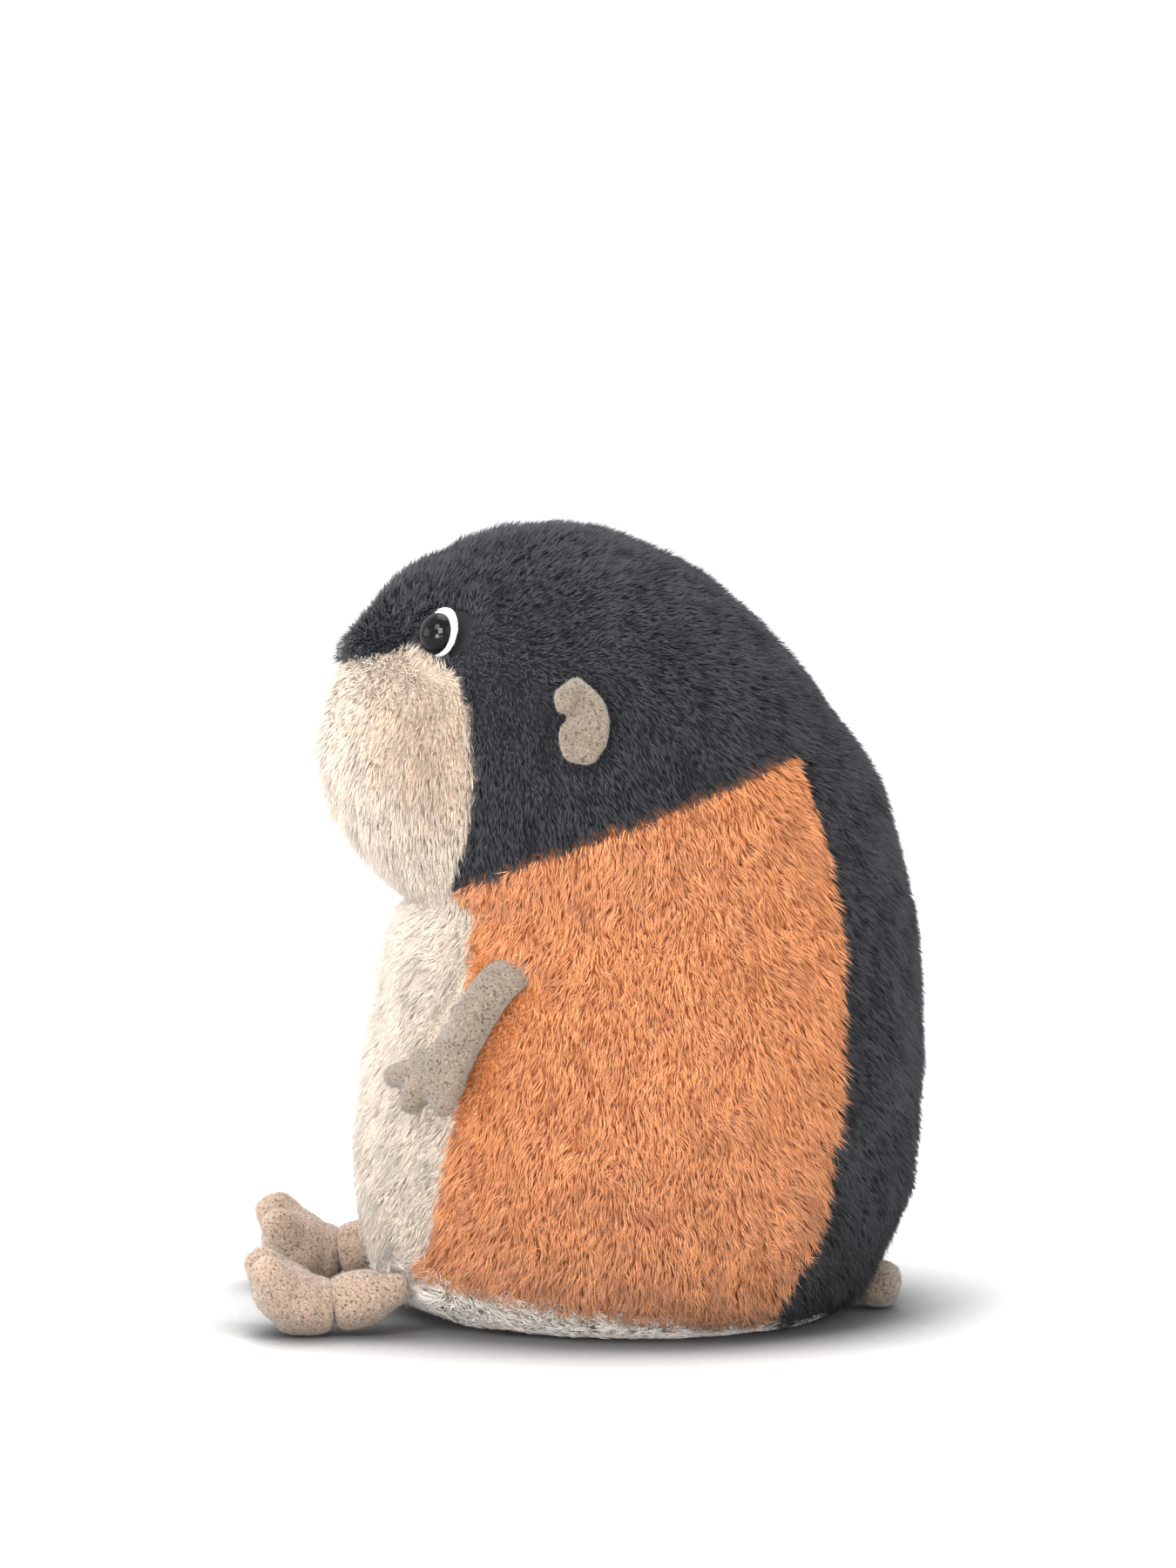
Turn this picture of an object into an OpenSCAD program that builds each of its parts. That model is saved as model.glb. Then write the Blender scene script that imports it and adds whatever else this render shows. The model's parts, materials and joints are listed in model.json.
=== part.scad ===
// Sitting plush animal: fur panels sewn round a stuffed body on a pellet pouch, with
// suede-cloth arms, legs, feet, ears and tail. Millimetres, +Z up, the face looks along -Y.
// The origin is the middle of the flat patch that the toy sits on.

/* [Body] */
// Height over the crown, with the pile pressed down
body_h = 228; // [205:1:250]
// Depth of the body from belly to back
body_d = 160; // [145:1:175]
// Width of the body across the flanks
body_w = 151; // [140:1:165]
// Thickness of a fur panel: its backing and the pressed pile
panel_t = 3; // [2:0.5:4]
// Gap that each seam leaves between two panels
seam_gap = 0.8; // [0.6:0.1:1.2]

/* [Eyes] */
// Diameter of the domed plastic eye
eye_d = 12; // [10:1:13]
// Diameter of the felt disc behind the eye
felt_d = 15.5; // [14:0.5:17]

/* [Limbs] */
// Diameter of an arm below the shoulder
arm_d = 11; // [10:0.5:12]
// Length of an arm from the shoulder to the palm's end
arm_l = 52; // [48:1:54]
// Width of a foot across its toes
foot_w = 27; // [24:1:28]
// Diameter of the heel ball at the ankle
heel_d = 16; // [14:1:17]
// Thickness of the suede cloth of the limbs
cloth_t = 1; // [0.8:0.1:1.2]
// Running gap at every sewn joint
joint_gap = 0.5; // [0.4:0.1:0.8]

/* [Hidden] */

fur_dark = "#4b4c50";
fur_orange = "#e08a52";
fur_cream = "#e6dccf";
suede = "#b3a48f";
fibre = "#f2f0ea";

// ---------- body shape ----------
// Level rings from the floor to the crown: height as a share of body_h, front and back as
// shares of half the depth, half-width as a share of half the width, and how much narrower
// the front of the ring is than its back.
rings = [
    [0.000, -0.550, 0.550, 0.580, 0.00],
    [0.013, -0.730, 0.720, 0.760, 0.00],
    [0.045, -0.860, 0.830, 0.880, 0.00],
    [0.096, -0.940, 0.900, 0.950, 0.00],
    [0.175, -0.990, 0.955, 0.995, 0.00],
    [0.263, -0.985, 0.975, 1.000, 0.00],
    [0.350, -0.945, 0.985, 0.975, 0.00],
    [0.440, -0.870, 0.975, 0.930, 0.00],
    [0.500, -0.825, 0.955, 0.880, 0.00],
    [0.533, -0.810, 0.935, 0.860, 0.00],
    [0.561, -0.900, 0.920, 0.855, 0.02],
    [0.605, -1.000, 0.885, 0.860, 0.03],
    [0.667, -1.075, 0.825, 0.868, 0.04],
    [0.728, -1.100, 0.730, 0.855, 0.06],
    [0.790, -1.070, 0.625, 0.810, 0.10],
    [0.838, -1.035, 0.525, 0.742, 0.14],
    [0.877, -0.965, 0.435, 0.663, 0.14],
    [0.921, -0.870, 0.285, 0.550, 0.12],
    [0.956, -0.752, 0.125, 0.424, 0.08],
    [0.982, -0.615, -0.055, 0.278, 0.04],
    [0.996, -0.475, -0.200, 0.140, 0.00],
    [1.000, -0.335, -0.335, 0.000, 0.00]];
last_ring = len(rings) - 1;
ring_of_height = [for (i = [0:last_ring]) [rings[i][0], i]];

function lerp(a, b, t) = a + (b - a) * t;
function clamp(x, low, high) = min(max(x, low), high);
function unit(v) = v / norm(v);

// Catmull-Rom curve through one column of the rings, at ring number s
function ring_value(s, column) =
    let (i = clamp(floor(s), 0, last_ring - 1), t = s - i,
         p0 = rings[max(i - 1, 0)][column], p1 = rings[i][column],
         p2 = rings[i + 1][column], p3 = rings[min(i + 2, last_ring)][column])
    p1 + t * ((p2 - p0) + t * ((2 * p0 - 5 * p1 + 4 * p2 - p3)
        + t * (3 * p1 - p0 - 3 * p2 + p3))) / 2;

// Ring number at a height in millimetres
function ring_at(z) = lookup(z / body_h, ring_of_height);

// Point of the body's surface: a turns from 0 at the front over 90 on the left to 180 at the
// back, s is the ring number
function surface_point(a, s) =
    let (front = ring_value(s, 1) * body_d / 2, back = ring_value(s, 2) * body_d / 2,
         half_w = ring_value(s, 3) * body_w / 2, taper = ring_value(s, 4))
    [half_w * sin(a) * (1 - taper * cos(a)),
     (front + back) / 2 - (back - front) / 2 * cos(a),
     ring_value(s, 0) * body_h];

function surface_normal(a, s) =
    let (d = 0.03, sn = clamp(s, d, last_ring - 0.15),
         across = surface_point(a + 1, sn) - surface_point(a - 1, sn),
         up = surface_point(a, sn + d) - surface_point(a, sn - d))
    s >= last_ring - 0.01 ? [0, 0, 1] : s <= 0.01 ? [0, 0, -1] : unit(cross(across, up));

// The same point moved inwards by depth
function inside_point(a, s, depth) = surface_point(a, s) - depth * surface_normal(a, s);

// ---------- seams, as heights or angles ----------
function neck_height(a) = body_h * (0.533 + 0.217 * (1 - cos(a)) / 2);
function base_height(a) = body_h * (0.013 + 0.075 * pow((1 + cos(a)) / 2, 1.5));
muzzle_top = 58;
brow_line = [[0, 0.826], [8, 0.828], [20, 0.833], [32, 0.845], [40, 0.852], [44, 0.852],
    [50, 0.840], [54, 0.834], [muzzle_top, 0.824]];
function brow_height(a) = body_h * lookup(abs(a), brow_line);
function muzzle_side(v) = lookup(v,
    [[0, 40], [0.15, 52], [0.3, 57], [0.5, 60.5], [0.75, 61.5], [1, muzzle_top]]);
function flank_front(v) = lookup(v, [[0, 36], [0.15, 44], [0.35, 48], [0.7, 45], [1, 42]]);
function flank_back(v) = lookup(v, [[0, 124], [0.15, 132], [0.35, 135], [0.7, 136], [1, 141]]);
ear_seam = 90;

// ---------- builders ----------
// Closed solid between two grids of points of the same size. A wrapped grid closes on itself
// across its columns. end "pole" means that the last row is one point, and "flat" that the
// first row is level and carries a flat lid.
module panel(outer, inner, wrap = false, end = "edge") {
    rows = len(outer);
    cols = len(outer[0]);
    n = rows * cols;
    last_col = wrap ? cols - 1 : cols - 2;
    function at(i, j, side) =
        side * n + i * cols + (end == "pole" && i == rows - 1 ? 0 : j % cols);
    function pair(a, b, c, d) = [[a, b, c], [a, c, d]];
    sheet = [for (i = [0:rows - 2], j = [0:last_col])
        each concat(
            pair(at(i, j, 0), at(i + 1, j, 0), at(i + 1, j + 1, 0), at(i, j + 1, 0)),
            pair(at(i, j + 1, 1), at(i + 1, j + 1, 1), at(i + 1, j, 1), at(i, j, 1)))];
    low_edge = end == "flat" ? [] : [for (j = [0:last_col])
        each pair(at(0, j, 0), at(0, j + 1, 0), at(0, j + 1, 1), at(0, j, 1))];
    high_edge = end == "pole" ? [] : [for (j = [0:last_col]) let (i = rows - 1)
        each pair(at(i, j + 1, 0), at(i, j, 0), at(i, j, 1), at(i, j + 1, 1))];
    side_edges = wrap ? [] : [for (i = [0:rows - 2]) each concat(
        pair(at(i + 1, 0, 0), at(i, 0, 0), at(i, 0, 1), at(i + 1, 0, 1)),
        pair(at(i, cols - 1, 0), at(i + 1, cols - 1, 0),
            at(i + 1, cols - 1, 1), at(i, cols - 1, 1)))];
    lids = end != "flat" ? [] : [
        [for (j = [0:cols - 1]) at(0, j, 0)],
        [for (j = [cols - 1:-1:0]) at(0, j, 1)]];
    all_faces = concat(sheet, low_edge, high_edge, side_edges, lids);
    polyhedron(
        points = concat([for (row = outer) each row], [for (row = inner) each row]),
        faces = [for (f = all_faces) if (f[0] != f[1] && f[1] != f[2] && f[0] != f[2]) f]);
}

// Solid skinned over one wrapped grid, closed by its first and last rows
module filling(grid, pole = false) {
    rows = len(grid);
    cols = len(grid[0]);
    function at(i, j) = i * cols + (pole && i == rows - 1 ? 0 : j % cols);
    sides = [for (i = [0:rows - 2], j = [0:cols - 1]) each [
        [at(i, j), at(i + 1, j), at(i + 1, j + 1)], [at(i, j), at(i + 1, j + 1), at(i, j + 1)]]];
    ends = concat(
        [[for (j = [0:cols - 1]) at(0, j)]],
        pole ? [] : [[for (j = [cols - 1:-1:0]) at(rows - 1, j)]]);
    polyhedron(
        points = [for (row = grid) each row],
        faces = [for (f = concat(sides, ends)) if (f[1] != f[2]) f]);
}

// Grid of body points at a depth: rows run over v and columns over u, both from 0 to 1, and
// a bias over 1 sets the low rows closer together
function body_grid(rows, cols, depth, angle, ring, bias) =
    [for (i = [0:rows]) [for (j = [0:cols])
        let (v = pow(i / rows, bias), a = angle(j / cols, v))
        inside_point(a, ring(a, v), depth)]];

module body_panel(rows, cols, angle, ring, bias = 1) {
    panel(body_grid(rows, cols, 0, angle, ring, bias),
        body_grid(rows, cols, panel_t, angle, ring, bias));
}

// Half a seam gap as a turn at the body's side, and as a height
gap_turn = seam_gap / body_w * 57;
gap_half = seam_gap / 2;
deep = panel_t + 1.2;

// Frame on the body's surface: X across, Y running down the surface and turned towards the
// face, Z outwards, lifted off the surface
function surface_frame(a, z, lift, turn) =
    let (s = ring_at(z), n = surface_normal(a, s), down = unit([0, 0, -1] + n * n.z),
         forward = cross(down, n), along = down * cos(turn) + forward * sin(turn),
         across = cross(along, n), p = surface_point(a, s) + n * lift)
    [[across.x, along.x, n.x, p.x], [across.y, along.y, n.y, p.y],
     [across.z, along.z, n.z, p.z], [0, 0, 0, 1]];

// ---------- head ----------
crown_z = 0.965 * body_h;
module muzzle() {
    body_panel(7, 7,
        function (u, v) lerp(gap_turn, muzzle_side(v) - gap_turn, u),
        function (a, v) ring_at(lerp(neck_height(a) + gap_half, brow_height(a) - gap_half, v)));
}

// Face panel: u runs from the muzzle's edge to the ear seam, v from the neck up and over to
// the middle of the forehead
function face_point(u, v, depth) =
    let (low = v < 0.5, t = low ? 2 * v : 2 * v - 1,
         a_in = low ? muzzle_side(t) + gap_turn : lerp(muzzle_top + gap_turn, gap_turn, t),
         z_in = low ? lerp(neck_height(a_in) + gap_half, brow_height(muzzle_top), t)
                    : brow_height(a_in) + gap_half,
         a_out = low ? ear_seam - gap_turn : lerp(ear_seam - gap_turn, gap_turn, t),
         z_out = low ? lerp(neck_height(90) + gap_half, crown_z - seam_gap, t)
                     : crown_z - seam_gap,
         a = lerp(a_in, a_out, u), s = lerp(ring_at(z_in), ring_at(z_out), u))
    inside_point(a, s, depth);

module face() {
    difference() {
        panel([for (i = [0:8]) [for (j = [0:16]) face_point(i / 8, j / 16, panel_t)]],
            [for (i = [0:8]) [for (j = [0:16]) face_point(i / 8, j / 16, 0)]]);
        on_eye() cylinder(h = 6 * panel_t, r = shank_r + 0.5, center = true, $fn = 16);
    }
}

module nape() {
    body_panel(9, 8,
        function (u, v) lerp(ear_seam + gap_turn, 180 - gap_turn, u),
        function (a, v) ring_at(lerp(neck_height(a) + gap_half, crown_z - seam_gap, v)));
}

module crown() {
    panel(crown_grid(0), crown_grid(panel_t), wrap = true, end = "pole");
}
function crown_grid(depth) =
    [for (i = [0:4]) [for (j = [0:23])
        inside_point(j * 15, lerp(ring_at(crown_z), last_ring, i / 4), depth)]];

module nose() {
    color("#8d7a76") panel(nose_grid(1), nose_grid(0));
}
nose_r = 4;
function nose_grid(bulge) =
    [for (i = [-4:4]) [for (j = [-4:4])
        let (u = j / 4, v = i / 4, x = u * sqrt(1 - v * v / 2), y = v * sqrt(1 - u * u / 2),
             rise = 0.4 + bulge * (0.6 + 2 * sqrt(max(0, 1 - x * x - y * y))),
             s = ring_at(0.833 * body_h + y * nose_r * 0.7))
        inside_point(x * nose_r * 1.3, s, -rise)]];

module head_stuffing() {
    rows = 14;
    color(fibre) difference() {
        filling([for (i = [0:rows]) [for (j = [0:23])
            let (a = j * 15,
                 low = ring_at(neck_height(a) + 1.5),
                 s = lerp(low, last_ring - 1.2, i / rows))
            inside_point(a, s, deep)]]);
        eye_pocket();
        mirror([1, 0, 0]) eye_pocket();
    }
}
module eye_pocket() {
    on_eye() translate([0, 0, -shank_l - 2])
        cylinder(h = shank_l + 2, r = washer_r + 1, $fn = 24);
}

// ---------- torso ----------
module torso_panel(cols, from, to) {
    body_panel(10, cols,
        function (u, v) lerp(from(v), to(v), u),
        function (a, v) ring_at(lerp(base_height(a) + gap_half, neck_height(a) - gap_half, v)),
        bias = 1.5);
}
module belly() {
    torso_panel(9, function (v) -flank_front(v) + gap_turn,
        function (v) flank_front(v) - gap_turn);
}
module flank() {
    torso_panel(9, function (v) flank_front(v) + gap_turn,
        function (v) flank_back(v) - gap_turn);
}
module back() {
    torso_panel(9, function (v) flank_back(v) + gap_turn,
        function (v) 360 - flank_back(v) - gap_turn);
}
module base() {
    panel(base_grid(0), base_grid(panel_t), wrap = true, end = "flat");
}
function base_grid(depth) =
    [for (i = [0:4]) [for (j = [0:35])
        let (a = j * 10, s = ring_at(base_height(a) - gap_half) * i / 4)
        inside_point(a, s, depth)]];

pouch_z = 42;
function torso_ring(z, depth) = [for (j = [0:23]) inside_point(j * 15, ring_at(z), depth)];
module body_stuffing() {
    color(fibre) filling([for (i = [0:8]) [for (j = [0:23])
        let (a = j * 15, z = lerp(pouch_z + 1, neck_height(a) - 1.5, i / 8))
        inside_point(a, ring_at(z), deep)]]);
}
pouch_levels = [0, 1, 3, 6, 12, 20, 30, pouch_z - 2];
pouch_t = 0.6;
module pouch_bottom() {
    color("#d9d4c8") panel([for (z = pouch_levels) torso_ring(z, deep)],
        [for (z = pouch_levels) torso_ring(z, deep + pouch_t)], wrap = true, end = "flat");
}
module pouch_top() {
    color("#d9d4c8") filling([torso_ring(pouch_z - 1.6, deep), torso_ring(pouch_z - 0.8, deep)]);
}
module pellets() {
    color("#eceae4") filling([for (z = [0, 1, 3, 6, 12, 20, 30, pouch_z - 3]) torso_ring(z, deep + pouch_t + 0.4)]);
}

// ---------- eyes ----------
eye_a = 54;
eye_z = 0.868 * body_h;
shank_r = 2;
shank_l = 10.5;
washer_r = 6.5;
felt_lift = 0.5;
felt_t = 1;
// The eye looks a little more level and forwards than the cloth it is set in
function eye_frame() =
    let (s = ring_at(eye_z), n = unit([0.69, -0.66, 0.30]), down = unit([0, 0, -1] + n * n.z),
         across = cross(down, n),
         p = surface_point(eye_a, s) + surface_normal(eye_a, s) * 1.7)
    [[across.x, down.x, n.x, p.x], [across.y, down.y, n.y, p.y],
     [across.z, down.z, n.z, p.z], [0, 0, 0, 1]];
module on_eye() {
    multmatrix(eye_frame()) children();
}
module eye() {
    base_z = felt_lift + felt_t + 0.1;
    on_eye() {
        translate([0, 0, base_z])
            intersection() {
                scale([1, 1, 0.8]) sphere(d = eye_d, $fn = 32);
                cylinder(h = eye_d, d = eye_d + 1, $fn = 32);
            }
        translate([0, 0, -shank_l]) cylinder(h = shank_l + base_z + 0.5, r = shank_r, $fn = 16);
    }
}
module eye_felt() {
    on_eye() translate([0, 0, felt_lift]) difference() {
        cylinder(h = felt_t, d = felt_d, $fn = 32);
        translate([0, 0, -1]) cylinder(h = felt_t + 2, r = shank_r + 0.2, $fn = 16);
    }
}
module eye_washer() {
    on_eye() translate([0, 0, -shank_l + 1]) difference() {
        cylinder(h = 1.5, r = washer_r, $fn = 24);
        translate([0, 0, -1]) cylinder(h = 4, r = shank_r + 0.1, $fn = 16);
    }
}

// ---------- limbs ----------
seam = 0.5;
// Half of a limb's skin: form(phi, v, shrink) is a point of the limb's surface, phi going
// round from one seam over the top (0 to 180) or the underside (180 to 360), v along it
module cloth_half(form, rows, cols, from) {
    side = from == 0 ? 1 : -1;
    function grid(shrink) = [for (i = [0:rows]) [for (j = [0:cols])
        form(from + 180 * j / cols, i / rows, shrink) + [0, 0, side * seam / 2]]];
    panel(grid(0), grid(cloth_t));
}
module limb_stuffing(form, rows, cols) {
    filling([for (i = [0:rows]) [for (j = [0:cols - 1])
        form(360 * j / cols, i / rows, cloth_t + 0.4)]]);
}
function dome(v, start, end) =
    v < start ? sqrt(max(0, 1 - pow(1 - v / start, 2)))
    : v > 1 - end ? sqrt(max(0, 1 - pow((v - 1 + end) / end, 2))) : 1;
// Three stubby fingers or toes across the width
function toes(phi) = abs(cos(270 * cos(phi)));

arm_widths = [[0, 0.6], [0.2, 0.62], [0.45, 0.55], [0.65, 0.5], [0.76, 0.72], [0.86, 0.98],
    [1, 1.02]];
arm_form = function (phi, v, shrink)
    let (w = lookup(v, arm_widths) * arm_d * dome(v, 0.1, 0.001) - shrink,
         tip = max(0, (v - 0.76) / 0.24), finger = shrink < cloth_t + 0.1 ? toes(phi) : 0,
         h = 0.5 * arm_d * dome(v, 0.1, 0.2) * (1 - 0.15 * v - 0.3 * tip * (1 - finger))
             - shrink,
         bow = -3 * sin(180 * v))
    [bow - max(w, 0.2) * cos(phi), lerp(shrink, arm_l - shrink, v) + tip * tip * 4.5 * finger,
     max(h, 0.15) * sin(phi)];
arm_lift = 8.4;
arm_turn = 27.5;
module on_arm() {
    multmatrix(surface_frame(51, 86, arm_lift, arm_turn)) translate([0, -27, 0]) children();
}
module shoulder() {
    on_arm() translate([0, 6.5, -0.5 * arm_d - joint_gap - 0.3]) rotate([180, 0, 0])
        cylinder(h = 2.4, r1 = 4.4, r2 = 3.6, $fn = 24);
}

leg_l = 29;
hip_r = 4.6;
hip_a = 37.5;
hip_z = 17;
hip = inside_point(hip_a, ring_at(hip_z), -hip_r - 0.8);
ankle = [hip.x + 2, hip.y - leg_l + hip_r, heel_d / 2 + 0.7];
leg_pitch = asin((ankle.z - hip.z) / norm(ankle - hip));
leg_form = function (phi, v, shrink)
    let (r = lerp(hip_r, heel_d / 2, pow(min(v * 1.15, 1), 0.8)) * dome(v, 0.16, 0.14) - shrink)
    [-max(r, 0.2) * cos(phi), lerp(shrink, leg_l - shrink, v), max(r, 0.2) * sin(phi)];
// Legs and feet run forwards along -Y
module on_leg() {
    translate(hip) rotate([-leg_pitch, 0, 0]) rotate([0, 0, 180 + 2])
        translate([0, -hip_r, 0]) children();
}

foot_l = 28;
foot_rise = 33;
foot_form = function (phi, v, shrink)
    let (w = lookup(v, [[0, 8], [0.3, 9.5], [0.7, 0.46 * foot_w], [1, 0.45 * foot_w]])
             * dome(v, 0.14, 0.001) - shrink,
         tip = max(0, (v - 0.7) / 0.3), toe = shrink < cloth_t + 0.1 ? toes(phi) : 0,
         h = 0.5 * heel_d * dome(v, 0.14, 0.26) * (1 - 0.2 * v - 0.25 * tip * (1 - toe))
             - shrink)
    [-max(w, 0.2) * cos(phi), lerp(shrink, foot_l - shrink, v) + tip * tip * 3 * toe,
     max(h, 0.15) * sin(phi)];
module on_foot() {
    translate(ankle + [0, -1.8, 0]) rotate([-foot_rise, 0, 0]) rotate([0, 0, 180 + 4])
        children();
}

tail_l = 15;
tail_z = 6.9;
tail_form = function (phi, v, shrink)
    let (w = 9 * dome(v, 0.35, 0.6) - shrink, h = 6.5 * dome(v, 0.35, 0.6) - shrink)
    [-max(w, 0.2) * cos(phi), lerp(shrink, tail_l - shrink, v), max(h, 0.15) * sin(phi)];
tail_y = surface_point(180, ring_at(tail_z)).y + 2.2;
module on_tail() {
    translate([0, tail_y, tail_z]) children();
}

ear_l = 27;
ear_h = 1.7;
ear_fronts = [[0, 0.2], [0.08, 1.5], [0.2, 6.6], [0.32, 7.5], [0.42, 6.8], [0.48, 5],
    [0.54, 4.8], [0.65, 5.8], [0.8, 5.6], [0.9, 4.4], [0.96, 2.8], [1, 0.8]];
ear_backs = [[0, 0.2], [0.08, 1.6], [0.2, 3.6], [0.42, 6.3], [0.65, 8], [0.8, 7.8],
    [0.9, 6.3], [0.96, 4.3], [1, 1.2]];
ear_form = function (phi, v, shrink)
    let (x = -cos(phi), side = x < 0 ? lookup(v, ear_backs) : lookup(v, ear_fronts))
    [x * max(side - shrink, 0.15), lerp(shrink, ear_l - shrink, v),
     max(ear_h * dome(v, 0.2, 0.15) - shrink, 0.15) * sin(phi)];
ear_turn = -6;
module on_ear() {
    multmatrix(surface_frame(91.2, 0.771 * body_h, ear_h + 1.2, ear_turn))
        translate([0, -ear_l * 0.5, 0]) children();
}

// ---------- named pieces ----------
module muzzle_left() {
    color(fur_cream) muzzle();
}
module face_left() {
    color(fur_dark) face();
}
module nape_left() {
    color(fur_dark) nape();
}
module flank_left() {
    color(fur_orange) flank();
}
module eye_left() {
    color("#101010") eye();
}
module eye_felt_left() {
    color("#f4f1ea") eye_felt();
}
module eye_washer_left() {
    color("#c8c8c4") eye_washer();
}
module ear_left_front() {
    color(suede) on_ear() cloth_half(ear_form, 14, 12, 0);
}
module ear_left_back() {
    color(suede) on_ear() cloth_half(ear_form, 14, 12, 180);
}
module shoulder_left() {
    color(suede) shoulder();
}
module arm_left_outer() {
    color(suede) on_arm() cloth_half(arm_form, 14, 18, 0);
}
module arm_left_inner() {
    color(suede) on_arm() cloth_half(arm_form, 14, 18, 180);
}
module arm_left_stuffing() {
    color(fibre) on_arm() limb_stuffing(arm_form, 10, 12);
}
module leg_left_top() {
    color(suede) on_leg() cloth_half(leg_form, 10, 9, 0);
}
module leg_left_bottom() {
    color(suede) on_leg() cloth_half(leg_form, 10, 9, 180);
}
module leg_left_stuffing() {
    color(fibre) on_leg() limb_stuffing(leg_form, 8, 12);
}
module foot_left_top() {
    color(suede) on_foot() cloth_half(foot_form, 12, 18, 0);
}
module foot_left_sole() {
    color(suede) on_foot() cloth_half(foot_form, 12, 18, 180);
}
module foot_left_stuffing() {
    color(fibre) on_foot() limb_stuffing(foot_form, 9, 12);
}
module muzzle_right() {
    mirror([1, 0, 0]) muzzle_left();
}
module face_right() {
    mirror([1, 0, 0]) face_left();
}
module nape_right() {
    mirror([1, 0, 0]) nape_left();
}
module flank_right() {
    mirror([1, 0, 0]) flank_left();
}
module eye_right() {
    mirror([1, 0, 0]) eye_left();
}
module eye_felt_right() {
    mirror([1, 0, 0]) eye_felt_left();
}
module eye_washer_right() {
    mirror([1, 0, 0]) eye_washer_left();
}
module ear_right_front() {
    mirror([1, 0, 0]) ear_left_front();
}
module ear_right_back() {
    mirror([1, 0, 0]) ear_left_back();
}
module shoulder_right() {
    mirror([1, 0, 0]) shoulder_left();
}
module arm_right_outer() {
    mirror([1, 0, 0]) arm_left_outer();
}
module arm_right_inner() {
    mirror([1, 0, 0]) arm_left_inner();
}
module arm_right_stuffing() {
    mirror([1, 0, 0]) arm_left_stuffing();
}
module leg_right_top() {
    mirror([1, 0, 0]) leg_left_top();
}
module leg_right_bottom() {
    mirror([1, 0, 0]) leg_left_bottom();
}
module leg_right_stuffing() {
    mirror([1, 0, 0]) leg_left_stuffing();
}
module foot_right_top() {
    mirror([1, 0, 0]) foot_left_top();
}
module foot_right_sole() {
    mirror([1, 0, 0]) foot_left_sole();
}
module foot_right_stuffing() {
    mirror([1, 0, 0]) foot_left_stuffing();
}
module crown_panel() {
    color(fur_dark) crown();
}
module belly_panel() {
    color(fur_cream) belly();
}
module back_panel() {
    color(fur_dark) back();
}
module base_panel() {
    color(fur_cream) base();
}
module tail_top() {
    color(suede) on_tail() cloth_half(tail_form, 8, 12, 0);
}
module tail_bottom() {
    color(suede) on_tail() cloth_half(tail_form, 8, 12, 180);
}
module tail_stuffing() {
    color(fibre) on_tail() limb_stuffing(tail_form, 6, 12);
}

muzzle_left();
muzzle_right();
face_left();
face_right();
crown_panel();
nape_left();
nape_right();
belly_panel();
flank_left();
flank_right();
back_panel();
base_panel();
nose();
head_stuffing();
body_stuffing();
pouch_top();
pouch_bottom();
pellets();
eye_left();
eye_right();
eye_felt_left();
eye_felt_right();
eye_washer_left();
eye_washer_right();
ear_left_back();
ear_left_front();
ear_right_back();
ear_right_front();
shoulder_left();
shoulder_right();
arm_left_outer();
arm_left_inner();
arm_left_stuffing();
arm_right_outer();
arm_right_inner();
arm_right_stuffing();
leg_left_top();
leg_left_bottom();
leg_left_stuffing();
leg_right_top();
leg_right_bottom();
leg_right_stuffing();
foot_left_top();
foot_left_sole();
foot_left_stuffing();
foot_right_top();
foot_right_sole();
foot_right_stuffing();
tail_top();
tail_bottom();
tail_stuffing();
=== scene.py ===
import json
import math

import bpy
import numpy as np
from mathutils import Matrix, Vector


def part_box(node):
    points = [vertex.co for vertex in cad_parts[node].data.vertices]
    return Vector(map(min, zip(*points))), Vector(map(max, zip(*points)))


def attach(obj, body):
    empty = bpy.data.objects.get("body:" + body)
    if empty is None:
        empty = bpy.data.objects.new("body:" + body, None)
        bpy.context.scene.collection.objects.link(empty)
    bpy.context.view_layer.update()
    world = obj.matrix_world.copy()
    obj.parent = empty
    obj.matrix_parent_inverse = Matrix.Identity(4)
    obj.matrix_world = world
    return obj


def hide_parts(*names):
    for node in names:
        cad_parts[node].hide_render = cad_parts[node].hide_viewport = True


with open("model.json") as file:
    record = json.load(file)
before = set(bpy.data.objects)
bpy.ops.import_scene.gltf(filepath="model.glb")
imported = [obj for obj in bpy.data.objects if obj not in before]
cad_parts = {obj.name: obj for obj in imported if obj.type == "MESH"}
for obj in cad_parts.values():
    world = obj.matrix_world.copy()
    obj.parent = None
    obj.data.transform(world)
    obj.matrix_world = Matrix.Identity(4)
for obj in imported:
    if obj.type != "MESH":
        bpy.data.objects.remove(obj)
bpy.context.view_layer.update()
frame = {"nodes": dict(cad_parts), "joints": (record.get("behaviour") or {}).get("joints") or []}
nodes = frame["nodes"]
joints = {joint["name"]: joint for joint in frame["joints"]}
rng = np.random.default_rng(7)
mm = 0.001
print("frame loaded:", len(nodes), "nodes")


# small numpy helpers
def unit(v):
    return v / np.maximum(np.linalg.norm(v, axis=-1, keepdims=True), 1e-12)


def smooth(x, low, high):
    # smooth step of x from 0 at low to 1 at high
    t = np.clip((x - low) / (high - low), 0.0, 1.0)
    return t * t * (3.0 - 2.0 * t)


def waves(points, size, seed, count=7):
    # soft noise between about -1 and 1: a sum of sine waves in random directions
    local = np.random.default_rng(seed)
    total = np.zeros(points.shape[:-1])
    for i in range(count):
        direction = unit(local.normal(size=3)) * (2 * math.pi / size) * local.uniform(0.6, 1.5)
        total += np.sin(points @ direction + local.uniform(0, 2 * math.pi))
    return total / math.sqrt(count)


def wavesVector(points, size, seed):
    return np.stack([waves(points, size, seed + k) for k in range(3)], axis=-1)


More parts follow.
